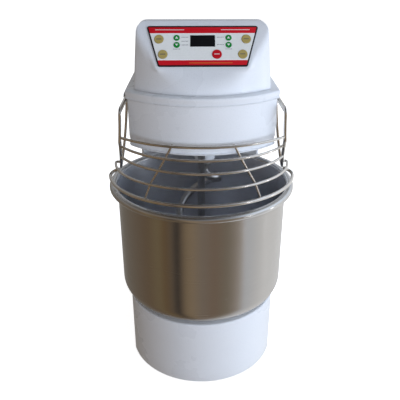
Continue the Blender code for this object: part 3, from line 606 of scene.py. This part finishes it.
def make_head():
    def drum(inset):
        return d_plan(DRUM_RADIUS, DRUM_HALF_WIDTH, BODY_REAR, inset)

    def collar(inset):
        return d_plan(DRUM_RADIUS + COLLAR_PROUD, DRUM_HALF_WIDTH + COLLAR_PROUD, BODY_REAR, inset)

    outer = [(drum(0), z) for z in (DRUM_TOP, 0.66, 0.62)] + edge_levels(drum, HEAD_BOTTOM, 0.004, -1, 5)
    inner = [(drum(SHEET), DRUM_TOP), (drum(SHEET), HEAD_BOTTOM + SHEET)]
    bm = bmesh.new()
    hollow(bm, outer, inner)
    head = add_piece("head_housing", bm, "paint", "machine_frame", ["head_drum"], sharp=60)
    bm = bmesh.new()
    block(bm, (-0.10, 0.265, HEAD_BOTTOM - 0.02), (0.10, 0.49, HEAD_BOTTOM + 0.02))
    cut_with(head, "cutter_floor", bm)
    cut_with(head, "cutter_hook", turned(disc(0.016, 0.59, 0.62), 48, (HOOK_X, HOOK_Y, 0)))
    cut_with(head, "cutter_bar", turned(disc(0.0094, 0.59, 0.62), 32))

    outer = edge_levels(collar, COLLAR_LOW, 0.0022, -1, 4)[::-1] + [(collar(0), 0.705)]
    outer += edge_levels(collar, COLLAR_TOP, 0.0036, 1, 6)
    inner = [(collar(0.030), COLLAR_LOW), (collar(0.030), COLLAR_TOP)]
    bm = bmesh.new()
    hollow(bm, outer, inner, closed=False)
    add_piece("collar_trim", bm, "paint", "machine_frame", ["head_collar"], sharp=60)


def panel_face_y(z):
    return PANEL_Y + (z - PANEL_Z) / math.tan(PANEL_SLOPE)


def pad_share(x, z):
    """1 on the flat pad round the panel, falling to 0 beside and below it."""
    up = (z - PANEL_Z) / math.sin(PANEL_SLOPE)
    beside = abs(x) - (PANEL_BOTTOM_HALF + PANEL_SLANT * up)
    distance = math.hypot(max(beside, 0), max(-up, 0))
    return 1 - smooth_step((distance - 0.003) / 0.012)


def soft_max(a, b, reach):
    overlap = max(reach - abs(a - b), 0.0)
    return max(a, b) + overlap**2 / (4 * reach)


def rounding(rise):
    return HOOD_CORNER - math.sqrt(max(HOOD_CORNER**2 - max(rise, 0.0) ** 2, 0.0))


def hood_level(z, inset):
    """The hood's outline at height z, cut by the panel's slope and the falling roof."""
    side_steps = 36
    corner = rounding(z - (HEIGHT - inset - HOOD_CORNER))
    drawn_in = inset + corner + HOOD_DRAFT * (z - COLLAR_TOP)
    end = min(RIDGE_Y + (HEIGHT - z - inset) / ROOF_SLOPE, HOOD_REAR - drawn_in)
    outline = d_plan(HOOD_RADIUS, HOOD_HALF_WIDTH, HOOD_REAR, drawn_in, steps=110)
    longer = []
    for i, (x, y) in enumerate(outline):
        next_x, next_y = outline[(i + 1) % len(outline)]
        longer.append((x, min(y, end)))
        if abs(next_x - x) < 1e-6 and abs(next_y - y) > 0.05:
            y, next_y = min(y, end), min(next_y, end)
            longer += [(x, y + (next_y - y) * k / side_steps) for k in range(1, side_steps)]
    points = []
    for x, y in longer:
        face = panel_face_y(z) + inset / math.sin(PANEL_SLOPE) + corner * 0.2
        if y < 0.05:
            cut = soft_max(y, face, 0.010)
            share = pad_share(x, z) * (1 - smooth_step((y - face - 0.01) / 0.03)) if inset == 0 else 0.0
            y = min(cut + (face - cut) * share, end)
        below_roof = HEIGHT - inset - ROOF_SLOPE * (y - RIDGE_Y) - z
        if y > RIDGE_Y:
            x -= math.copysign(max(rounding(HOOD_CORNER - below_roof) - corner, 0.0), x)
        points.append((x, y))
    return points


def make_hood():
    heights = [HOOD_BOTTOM + 0.0022 * i for i in range(50)]
    heights = [z for z in heights if z < HEIGHT - HOOD_CORNER - 0.001]
    heights += [HEIGHT - HOOD_CORNER * (1 - math.sin(a * math.pi / 24)) for a in range(0, 13)]
    outer = [(hood_level(z, 0), z) for z in heights]
    inner_heights = (HOOD_BOTTOM, 0.735, 0.760, 0.785, 0.810, 0.825, HEIGHT - SHEET)
    inner = [(hood_level(z, SHEET), z) for z in inner_heights]
    bm = bmesh.new()
    hollow(bm, outer, inner)
    hood = add_piece("hood_moulding", bm, "paint", "machine_frame", ["hood"], sharp=60)
    face = Matrix.Translation((0, PANEL_Y, PANEL_Z)) @ Matrix.Rotation(PANEL_SLOPE, 4, "X")
    bm = bmesh.new()
    loft(bm, [(trapezoid(0.0045), -0.03), (trapezoid(0.0045), 0.01)])
    bmesh.ops.transform(bm, matrix=face, verts=bm.verts)
    cut_with(hood, "cutter_window", bm)


# ---------------------------------------------------------------- panel

# Name, place across and up the panel, radius and colour
KEYS = (
    ("key_gold_1", -0.0830, 0.0554, 0.0089, "gold_key"),
    ("key_gold_2", -0.0757, 0.0247, 0.0089, "gold_key"),
    ("key_gold_3", 0.0830, 0.0554, 0.0089, "gold_key"),
    ("key_gold_4", 0.0757, 0.0247, 0.0089, "gold_key"),
    ("key_green_1", -0.0493, 0.0581, 0.0058, "green_key"),
    ("key_green_2", -0.0493, 0.0436, 0.0058, "green_key"),
    ("key_green_3", 0.0493, 0.0581, 0.0058, "green_key"),
    ("key_green_4", 0.0493, 0.0436, 0.0058, "green_key"),
    ("key_stop", 0.0268, 0.0247, 0.0092, "red_key"),
)


def make_panel():
    face = Matrix.Translation((0, BOWL_Y + PANEL_Y, PANEL_Z)) @ Matrix.Rotation(PANEL_SLOPE, 4, "X")
    top = PANEL_THICKNESS
    ink_low, ink_high = top - 0.0002, top + 0.0001

    def printed(outline):
        loft(bm, [(outline, ink_low), (outline, ink_high)])

    bm = bmesh.new()
    loft(bm, [(trapezoid(0), GAP), (trapezoid(0), top - 0.0005), (trapezoid(0.0002), top - 0.00015),
              (trapezoid(0.0006), top)])
    plate = add_piece("panel_film", bm, "panel", "machine_frame", ["panel_plate"], matrix=face)
    bm = bmesh.new()
    block(bm, (-0.0238, 0.0399, -0.01), (0.0238, 0.0635, 0.01))
    for name, x, up, radius, _ in KEYS:
        turned(disc(radius + 0.0003, -0.01, 0.01), 40, (x, up, 0), bm=bm)
    bmesh.ops.transform(bm, matrix=Matrix.Translation((0, -BOWL_Y, 0)) @ face, verts=bm.verts)
    cut_with(plate, "cutter_keys", bm)

    bm = bmesh.new()
    outline = rounded(rectangle(-0.0235, 0.0402, 0.0235, 0.0632), 0.0008)
    smaller = [(x * 0.99, 0.0517 + (y - 0.0517) * 0.98) for x, y in outline]
    loft(bm, [(outline, GAP), (outline, top - 0.0004), (smaller, top - 0.0001)])
    add_piece("display_glass", bm, "display", "machine_frame", ["display_window"], matrix=face)

    bm = bmesh.new()
    for _, x, up, radius, finish in KEYS:
        wide = 0.0016 if finish == "red_key" else 0.0011
        inner, outer = radius + 0.0004, radius + wide
        circle = [(inner, ink_high), (inner, ink_low), (outer, ink_low), (outer, ink_high)]
        turned(circle, 48, (x, up, 0), bm=bm)
    for low, high in ((-0.0900, -0.0350), (0.0350, 0.0900)):
        printed(rectangle(low, 0.0738, high, 0.0750))
    add_piece("panel_white_marks", bm, "white", "machine_frame", matrix=face)

    bm = bmesh.new()
    rows = [(-0.0336, 0.0592), (-0.0336, 0.0511), (-0.0336, 0.0434), (0.0336, 0.0592), (0.0336, 0.0440),
            (-0.0493, 0.0352), (0.0493, 0.0352)]
    for x, y in rows:
        for k in range(-2, 3):
            middle = x + k * 0.0027
            printed(rectangle(middle - 0.0009, y - 0.0005, middle + 0.0009, y + 0.0005))
    add_piece("panel_dash_marks", bm, "ink", "machine_frame", matrix=face)
    bm = bmesh.new()
    printed(rectangle(-0.026, 0.0066, 0.056, 0.0078))
    add_piece("panel_orange_line", bm, "orange", "machine_frame", matrix=face)
    for name, x, up, radius, finish in KEYS:
        make_key(name, x, up, radius, finish, face)


def make_key(name, x, up, radius, finish, face):
    """A round key with a soft shoulder and a shallow dished face, and its printed mark."""
    high = PANEL_THICKNESS + KEY_TRAVEL
    level = high - 0.00022
    profile = [(0, high - 0.0003), (radius * 0.45, level), (radius * 0.78, high - 0.00002)]
    profile += [(radius - 0.0010, high), (radius - 0.0004, high - 0.0002), (radius - 0.0001, high - 0.0006)]
    profile += [(radius, high - 0.0010), (radius, -0.0015)]
    profile += [(0.0025, -0.0015), (0.0025, -0.0048), (0, -0.0048)]
    place = face @ Matrix.Translation((x, up, 0))
    add_piece(name + "_cap", turned(profile, 48), finish, name + "_body", [name], matrix=place)
    if finish == "green_key":
        size = radius * 0.50
        flip = -1 if name[-1] in "24" else 1
        mark = [(-size, -size * 0.7 * flip), (size, -size * 0.7 * flip), (0, size * 0.9 * flip)][::flip]
    else:
        wide = radius * 0.55
        mark = rectangle(-wide, -0.0007, wide, 0.0007)
    bm = bmesh.new()
    loft(bm, [(mark, level - 0.0001), (mark, level + 0.0003)])
    look = "ink" if finish == "gold_key" else "white"
    add_piece(name + "_mark", bm, look, name + "_body", matrix=place)


# ---------------------------------------------------------------- bowl, hook and bar


def make_bowl():
    """The wall and rounded bottom, with a rim rolled outwards into a bead."""
    corner_z, corner_r = BOWL_BOTTOM + BOWL_CORNER, BOWL_RADIUS - BOWL_CORNER
    bead_r = (RIM_RADIUS - BOWL_RADIUS) / 2
    bead_x = BOWL_RADIUS + bead_r
    outside = [(0, BOWL_BOTTOM), (0.08, BOWL_BOTTOM)]
    outside += [(corner_r + x, corner_z + z) for x, z in arc((0, 0), BOWL_CORNER, -math.pi / 2, 0, 16)]
    outside += [(BOWL_RADIUS, z) for z in (0.26, 0.31, 0.36, 0.41, 0.445)]
    bead_arc = arc((0, 0), bead_r, math.radians(-158), math.pi, 26)
    bead = [(bead_x + x, BEAD_Z + z * 0.85) for x, z in bead_arc]
    inner_r = BOWL_CORNER - BOWL_WALL
    inside = [(BOWL_RADIUS - 0.0006, BEAD_Z - 0.003), (BOWL_RADIUS - BOWL_WALL, BEAD_Z - 0.010)]
    inside += [(BOWL_RADIUS - BOWL_WALL, z) for z in (0.41, 0.36, 0.31, 0.26)]
    inside += [(corner_r + x, corner_z + z) for x, z in arc((0, 0), inner_r, 0, -math.pi / 2, 16)]
    inside += [(0.08, BOWL_BOTTOM + BOWL_WALL), (0, BOWL_BOTTOM + BOWL_WALL)]
    bm = turned(outside + bead + inside, 144)
    looks = ["bowl", "bead", "bowl_inside_matt_painted_light"]
    bowl = add_piece("bowl_vessel", bm, looks, "bowl_body", ["bowl"], sharp=50)
    for face in bowl.data.polygons:
        middle, normal = face.center, face.normal
        if math.hypot(middle.x, middle.y) > BOWL_RADIUS + 0.0003:
            face.material_index = 1
        # Faces inside the bowl get the third slot: its more matt finish is real, and its lighter, bluer
        # colour is painted light
        elif normal.z > 0.01 or middle.x * normal.x + middle.y * normal.y < 0:
            face.material_index = 2


def hook_point(turn):
    """A point of the hook's centre line, on a smooth curve through the rows of HOOK_PATH."""
    last = len(HOOK_PATH) - 2
    k = next((i for i in range(last) if turn < HOOK_PATH[i + 1][0]), last)
    span = HOOK_PATH[k + 1][0] - HOOK_PATH[k][0]
    t = (turn - HOOK_PATH[k][0]) / span

    def slope(i, column):
        before, after = HOOK_PATH[max(i - 1, 0)], HOOK_PATH[min(i + 1, last + 1)]
        return span * (after[column] - before[column]) / (after[0] - before[0])

    def value(column):
        a, b = HOOK_PATH[k][column], HOOK_PATH[k + 1][column]
        start, end = slope(k, column), slope(k + 1, column)
        return a + t * (start + t * (3 * (b - a) - 2 * start - end + t * (start + end - 2 * (b - a))))

    angle = math.radians(turn)
    return Vector((value(1) * math.cos(angle), value(1) * math.sin(angle), value(2)))


def make_hook():
    points = [Vector((0, 0, HOOK_TOP - below)) for below in (GAP, 0.003, 0.006)]
    points += [hook_point(turn) for turn in range(-95, 446, 4)]
    place = Matrix.Translation((HOOK_X, BOWL_Y + HOOK_Y, 0))

    def thickness(share):
        return HOOK_ROD * (1 - 0.25 * smooth_step((share - 0.93) / 0.07))

    bm = sweep(points, thickness, 20)
    for v in bm.verts:
        v.co.z = min(v.co.z, HOOK_TOP - GAP)
    add_piece("hook_rod", bm, "steel", "hook_body", ["spiral_hook"], matrix=place, sharp=50)
    profile = [(0, 0.684), (0.0125, 0.684), (0.0125, HOOK_TOP + 0.009)]
    profile += [(0.019, HOOK_TOP + 0.006), (0.019, HOOK_TOP), (0, HOOK_TOP)]
    bm = turned(soften(profile, 0.0012), 48)
    add_piece("hook_spindle", bm, "steel", "hook_body", ["hook_shaft"], matrix=place)


def make_bar_and_sleeve():
    top = HEAD_BOTTOM - GAP
    profile = [(0, 0.618), (0.0085, 0.618), (0.0085, top), (0.022, top), (0.022, top - 0.006)]
    profile += [(BAR_RADIUS, top - 0.010), (BAR_RADIUS, 0.205), (0.006, 0.196), (0, 0.196)]
    bm = turned(soften(profile, 0.0014), 48)
    add_piece("breaker_rod", bm, "steel", "machine_frame", ["breaker_bar"])
    profile = [(0.0134, top), (0.0134, 0.482), (0.0235, 0.482), (0.026, 0.487)]
    profile += [(0.026, top - 0.010), (0.042, top - 0.006), (0.042, top)]
    bm = turned(soften(profile, 0.0014), 64, (HOOK_X, HOOK_Y, 0))
    add_piece("sleeve_cover", bm, "paint", "machine_frame", ["hook_sleeve"])
    bm = bmesh.new()
    for k in range(4):
        a = math.pi / 4 + k * math.pi / 2
        place = (HOOK_X + 0.034 * math.cos(a), HOOK_Y + 0.034 * math.sin(a), top - 0.0072)
        turned([(0, 0.0), (0.0042, 0.0), (0.0042, -0.0030), (0.0036, -0.0036), (0, -0.0036)], 6, place, bm=bm)
    add_piece("sleeve_bolts", bm, "bolt", "machine_frame", sharp=25)


# ---------------------------------------------------------------- guard


def arm_x(z):
    """How far the straps are from the middle at height z."""
    below = 0.681 - z
    return HINGE_X + 0.0575 * below + 0.45 * below**2


def loop_corners(points, radius):
    """The closed (y, z) loop with round corners, cut into short steps."""
    outline = rounded(points, radius, 8)
    made = []
    for i, here in enumerate(outline):
        a, b = Vector(here), Vector(outline[(i + 1) % len(outline)])
        steps = max(1, int((b - a).length / 0.006))
        made += [a.lerp(b, k / steps) for k in range(steps)]
    return made


def make_arm(side, where):
    """A flat strap bent into a closed frame with soft edges and an eye for the hinge pin."""
    path = loop_corners(ARM_CORNERS, 0.008)
    count = len(path)
    bm = bmesh.new()
    half, edge = ARM_WIDTH / 2, 0.0009
    inner, shoulder = half - edge, 0.5 - edge / ARM_THICKNESS
    section = [(-inner, -0.5), (-half, -shoulder), (-half, shoulder), (-inner, 0.5)]
    section += [(inner, 0.5), (half, shoulder), (half, -shoulder), (inner, -0.5)]
    loops = []
    for offset, depth in section:
        ring = []
        for i, p in enumerate(path):
            along = (path[(i + 1) % count] - path[i - 1]).normalized()
            q = p + Vector((-along.y, along.x)) * offset
            ring.append(bm.verts.new((side * (arm_x(q.y) + ARM_THICKNESS * depth), q.x, q.y)))
        loops.append(ring)
    for k in range(len(loops)):
        bridge(bm, loops[k], loops[(k + 1) % len(loops)])
    nodes = ["guard_arm_" + where]
    arm = add_piece("guard_strap_" + where, bm, "wire_steel", "guard", nodes, sharp=50)
    pivot = Matrix.Translation((side * arm_x(HINGE_Z), HINGE_Y, HINGE_Z))
    laid = pivot @ Matrix.Rotation(math.pi / 2, 4, "Y")
    face = ARM_THICKNESS / 2 + 0.0004
    eye = soften([(0.0056, face), (0.0056, -face), (0.0125, -face), (0.0125, face)], 0.0008)
    add_piece("guard_eye_" + where, turned(eye, 40, turn=laid), "wire_steel", "guard")
    bore = turned(disc(0.0060, -0.02, 0.02), 32, turn=laid)
    cut_with(arm, "cutter_eye", bore)


def make_hinge_pin(side, where):
    wall, arm = DRUM_HALF_WIDTH + GAP, arm_x(HINGE_Z)
    near, far = arm - ARM_THICKNESS / 2 - 0.0014, arm + ARM_THICKNESS / 2 + 0.0014
    profile = [(0, far + 0.003), (0.0035, far + 0.003), (0.0075, far + 0.0022), (0.009, far + 0.0008)]
    profile += [(0.009, far), (0.005, far), (0.005, near), (0.010, near), (0.010, wall), (0, wall)]
    laid = Matrix.Translation((0, HINGE_Y, HINGE_Z)) @ Matrix.Rotation(side * math.pi / 2, 4, "Y")
    bm = turned(profile, 40, turn=laid)
    add_piece("hinge_bolt_" + where, bm, "bolt", "machine_frame", ["hinge_pin_" + where])


def ring_shape(ring):
    """Height in front and beside, radius, y of the centre and wire radius of ring number ring."""
    if ring < 3:
        z, radius, centre = UPPER_RINGS[ring]
        return z, z, radius, centre, WIRE
    return LOWER_RINGS[ring - 3][:5]


def ring_y(ring, x):
    radius, centre = ring_shape(ring)[2:4]
    return centre - math.sqrt(radius**2 - x**2)


def ring_z(ring, y):
    front, beside, radius, centre = ring_shape(ring)[:4]
    return front + (beside - front) * min((y - centre + radius) / radius, 1.0)


def ring_paths():
    """The points of the five wires, top to bottom, each with its radius."""
    paths = []
    for z, radius, centre in UPPER_RINGS:
        half = (arm_x(z) - ARM_THICKNESS / 2 - 0.0006) / (1 + WIRE / radius)
        side = math.asin(half / radius)
        arc_points = arc((0, centre), radius, -math.pi / 2 - side, -math.pi / 2 + side, 72)
        paths.append(([(x, y, z) for x, y in arc_points], WIRE))
    for i, (_, _, radius, centre, thickness, end_y, end_z) in enumerate(LOWER_RINGS):
        side = math.pi / 2 + math.asin((end_y - centre) / radius)
        flat = arc((0, centre), radius, -math.pi / 2 - side, -math.pi / 2 + side, 96)
        front = [(x, y, ring_z(i + 3, y)) for x, y in flat]
        near, far = arm_x(end_z) + ARM_THICKNESS / 2 + thickness + 0.0006, front[-1][0]
        bend, start_z = (far - near) / 2, front[-1][2]
        curl = [(near + bend + x, end_y + y) for x, y in arc((0, 0), bend, 0, math.pi, 14)][1:]
        right = [(x, y, start_z + (end_z - start_z) * (k + 1) / 14) for k, (x, y) in enumerate(curl)]
        left = [(-x, y, high) for x, y, high in reversed(right)]
        paths.append((left + front + right, thickness))
    return paths


def bead_of_weld(bm, place, size, flat):
    own = bmesh.new()
    bmesh.ops.create_icosphere(own, subdivisions=2, radius=size)
    merge(bm, own, Matrix.Translation(place) @ Matrix.Diagonal((1, 1, flat, 1)))


def make_guard():
    for side, where in SIDES:
        make_arm(side, where)
        make_hinge_pin(side, where)
    welds = bmesh.new()
    for i, (points, thickness) in enumerate(ring_paths()):
        bm = sweep(points, thickness, 14, round_ends=i > 2)
        name = "guard_wire_%d" % (i + 1)
        add_piece(name, bm, "wire_steel", "guard", ["guard_ring_%d" % (i + 1)], sharp=60)
        for x, y, z in (points[0], points[-1]):
            if i > 2:
                x -= math.copysign(0.0004, x)
            bead_of_weld(welds, (x, y, z), thickness * 1.25, 0.8)
    for side, where in SIDES:
        points = []
        for i, x in enumerate(RIB_HALF_WIDTHS):
            centre, ring_wire = ring_shape(i)[3:]
            front = Vector((x, ring_y(i, x)))
            outward = Vector((x, front.y - centre)).normalized()
            behind = front - outward * (ring_wire + RIB_WIRE + 0.0006)
            points.append(Vector((side * behind.x, behind.y, ring_z(i, front.y))))
            touch = front - outward * (ring_wire + 0.0003)
            bead_of_weld(welds, (side * touch.x, touch.y, ring_z(i, front.y)), 0.0029, 0.7)
        top = points[0] + (points[0] - points[1]).normalized() * 0.001
        path = [top]
        for a, b in zip(points, points[1:]):
            path += [a.lerp(b, k / 6) for k in range(6)]
        path.append(points[-1])
        bm = sweep(path, RIB_WIRE, 12)
        nodes = ["guard_rib_" + where]
        add_piece("guard_stay_" + where, bm, "wire_steel", "guard", nodes, sharp=60)
    add_piece("guard_welds", welds, "wire_steel", "guard", sharp=80)


# ---------------------------------------------------------------- rear fittings and carried-over nodes


def make_gland():
    nut = soften([(0.0042, GAP), (0.0125, GAP), (0.0125, 0.0065), (0.0042, 0.0065)], 0.0008)
    bm = turned(nut, 6, GLAND, TO_REAR)
    profile = [(0.0042, 0.0068), (0.0100, 0.0068)]
    for k in range(4):
        z = 0.008 + 0.002 * k
        profile += [(0.0102, z), (0.0096, z + 0.0006), (0.0096, z + 0.0012)]
    profile += [(0.0085, 0.0180), (0.0070, 0.0197), (0.0046, 0.0197), (0.0042, 0.0190)]
    turned(profile, 40, GLAND, TO_REAR, bm)
    thread = [(0.0042, GAP), (0.0080, GAP), (0.0080, -0.012), (0.0042, -0.012)]
    turned(thread, 32, GLAND, TO_REAR, bm)
    add_piece("gland_body", bm, "black_plastic", "machine_frame", ["cable_gland"], sharp=30)


def paint_cad_nodes():
    """Every CAD node that still shows gets its procedural material."""
    slots = {row["node"]: row["material_slot"] for row in frame["record"]["subparts"]}
    for name, node in NODES.items():
        node.data.materials.clear()
        node.data.materials.append(MATERIALS[slots[name]])


# ---------------------------------------------------------------- stage


def make_world():
    """A studio room: warm and dim on the left, pale on the right, with a dark ceiling.

    Its lower half is what the upright steel shows, in bands round the room."""
    world = bpy.data.worlds.new("studio")
    bpy.context.scene.world = world
    world.use_nodes = True
    world.node_tree.nodes.clear()
    n = Nodes(world, "Generated")
    x, y, z = n.axes()
    turn = n.math("ARCTAN2", x, n.math("MULTIPLY", y, -1.0))
    share = n.math("MULTIPLY_ADD", turn, 1 / (2 * math.pi), 0.5)

    def bands(*stops):
        return n.ramp(share, *[((degrees + 180) / 360, colour) for degrees, colour in stops])

    # Degrees round the room, 0 in front of the machine and positive to its right, and the light there
    low = bands(
        (-180, (0.45, 0.44, 0.43)), (-140, (0.20, 0.18, 0.155)), (-80, (0.160, 0.112, 0.072)),
        (-62, (0.205, 0.160, 0.093)), (-52, (0.155, 0.097, 0.050)), (-43, (0.150, 0.115, 0.083)),
        (-37, (0.060, 0.050, 0.045)), (-33, (0.035, 0.030, 0.028)), (-28, (0.16, 0.12, 0.085)),
        (-22, (0.255, 0.190, 0.120)), (-14, (0.285, 0.215, 0.145)), (0, (0.235, 0.192, 0.155)),
        (18, (0.220, 0.160, 0.118)), (36, (0.225, 0.190, 0.145)), (46, (0.300, 0.255, 0.210)),
        (54, (0.400, 0.345, 0.300)), (64, (0.580, 0.610, 0.660)), (84, (0.720, 0.725, 0.740)),
        (100, (0.830, 0.840, 0.860)), (150, (0.830, 0.840, 0.860)), (180, (0.45, 0.44, 0.43)),
    )
    high = bands(
        (-180, (0.40, 0.42, 0.46)), (-120, (0.22, 0.21, 0.20)), (-60, (0.24, 0.20, 0.165)),
        (-10, (0.16, 0.16, 0.165)), (40, (0.36, 0.38, 0.42)), (70, (1.02, 1.14, 1.34)),
        (130, (0.86, 0.95, 1.10)), (180, (0.40, 0.42, 0.46)),
    )
    rise = n.spread(z, 0.0, 1.0, -0.05, 0.45, "SMOOTHSTEP")
    strength = n.spread(z, 1.0, 0.25, 0.55, 0.95, "SMOOTHSTEP")
    room = n.fill(n.add("ShaderNodeBackground"), (0, n.mix(rise, low, high)), (1, strength))
    plain = n.fill(n.add("ShaderNodeBackground"), (0, (1, 1, 1, 1)))
    seen = n.add("ShaderNodeLightPath").outputs["Is Camera Ray"]
    shown = n.fill(n.add("ShaderNodeMixShader"), (0, seen), (1, room), (2, plain))
    n.link(shown, n.add("ShaderNodeOutputWorld").inputs[0])


def make_floor():
    bm = bmesh.new()
    bmesh.ops.create_grid(bm, x_segments=2, y_segments=2, size=30)
    floor = new_object("studio_floor", bm)
    n = new_material("pale_floor")
    speck = n.noise(n.coords, 3, 2)
    colour = n.mix(speck, (0.88, 0.88, 0.88), (0.90, 0.90, 0.90))
    floor.data.materials.append(n.set(colour=colour, roughness=0.9, glow=0.80, glow_colour=(1, 1, 1)))
    floor.visible_glossy = False
    floor.visible_diffuse = False


def add_light(name, place, size, power, colour, glossy):
    """A rectangular light that faces the middle of the machine."""
    data = bpy.data.lights.new(name, "AREA")
    data.shape = "RECTANGLE"
    data.size, data.size_y = size
    data.energy = power
    data.color = colour
    light = bpy.data.objects.new(name, data)
    bpy.context.scene.collection.objects.link(light)
    light.location = place
    towards = Vector((0, BOWL_Y + 0.1, 0.45)) - Vector(place)
    light.rotation_euler = towards.to_track_quat("-Z", "Y").to_euler()
    light.visible_glossy = glossy
    light.visible_camera = False


def make_stage():
    make_world()
    make_floor()
    add_light("key_light", (2.4, -1.7, 0.85), (2.4, 1.9), 33, (0.82, 0.93, 1.10), False)
    add_light("front_light", (0.3, -3.0, 0.6), (3.2, 1.5), 31, (0.86, 0.95, 1.10), False)
    add_light("fill_light", (-2.6, -1.2, 1.5), (1.6, 1.6), 1.5, (1.10, 0.99, 0.90), False)
    add_light("top_light", (0.6, 0.6, 3.2), (2.0, 2.0), 2, (0.86, 0.95, 1.10), False)
    add_light("back_light", (0.6, 3.0, 1.8), (2.4, 1.8), 30, (0.95, 0.98, 1.02), False)
    add_light("window_light", (2.43, -1.95, 0.32), (0.26, 0.34), 2.0, (0.95, 0.98, 1.05), True)
    add_light("side_window", (3.0, -0.35, 0.30), (0.16, 0.70), 1.6, (0.95, 0.98, 1.05), True)
    camera = bpy.data.objects.new("camera", bpy.data.cameras.new("camera"))
    bpy.context.scene.collection.objects.link(camera)
    turn, distance, height, looks_down = math.radians(-1.0), 1.147, 0.947, 25.05
    camera.location = (distance * math.sin(turn), BOWL_Y - distance * math.cos(turn), height)
    camera.rotation_euler = (math.radians(90 - looks_down), 0, turn)
    camera.data.lens, camera.data.sensor_width = 46.4, 36
    camera.data.shift_x = -0.0035
    camera.data.clip_start = 0.05
    bpy.context.scene.camera = camera
    bpy.context.scene.view_settings.view_transform = "Standard"


MATERIALS = make_materials()
paint_cad_nodes()
make_base()
make_column()
make_rear_cover()
make_head()
make_hood()
make_panel()
make_bowl()
make_hook()
make_bar_and_sleeve()
make_guard()
make_gland()
make_stage()
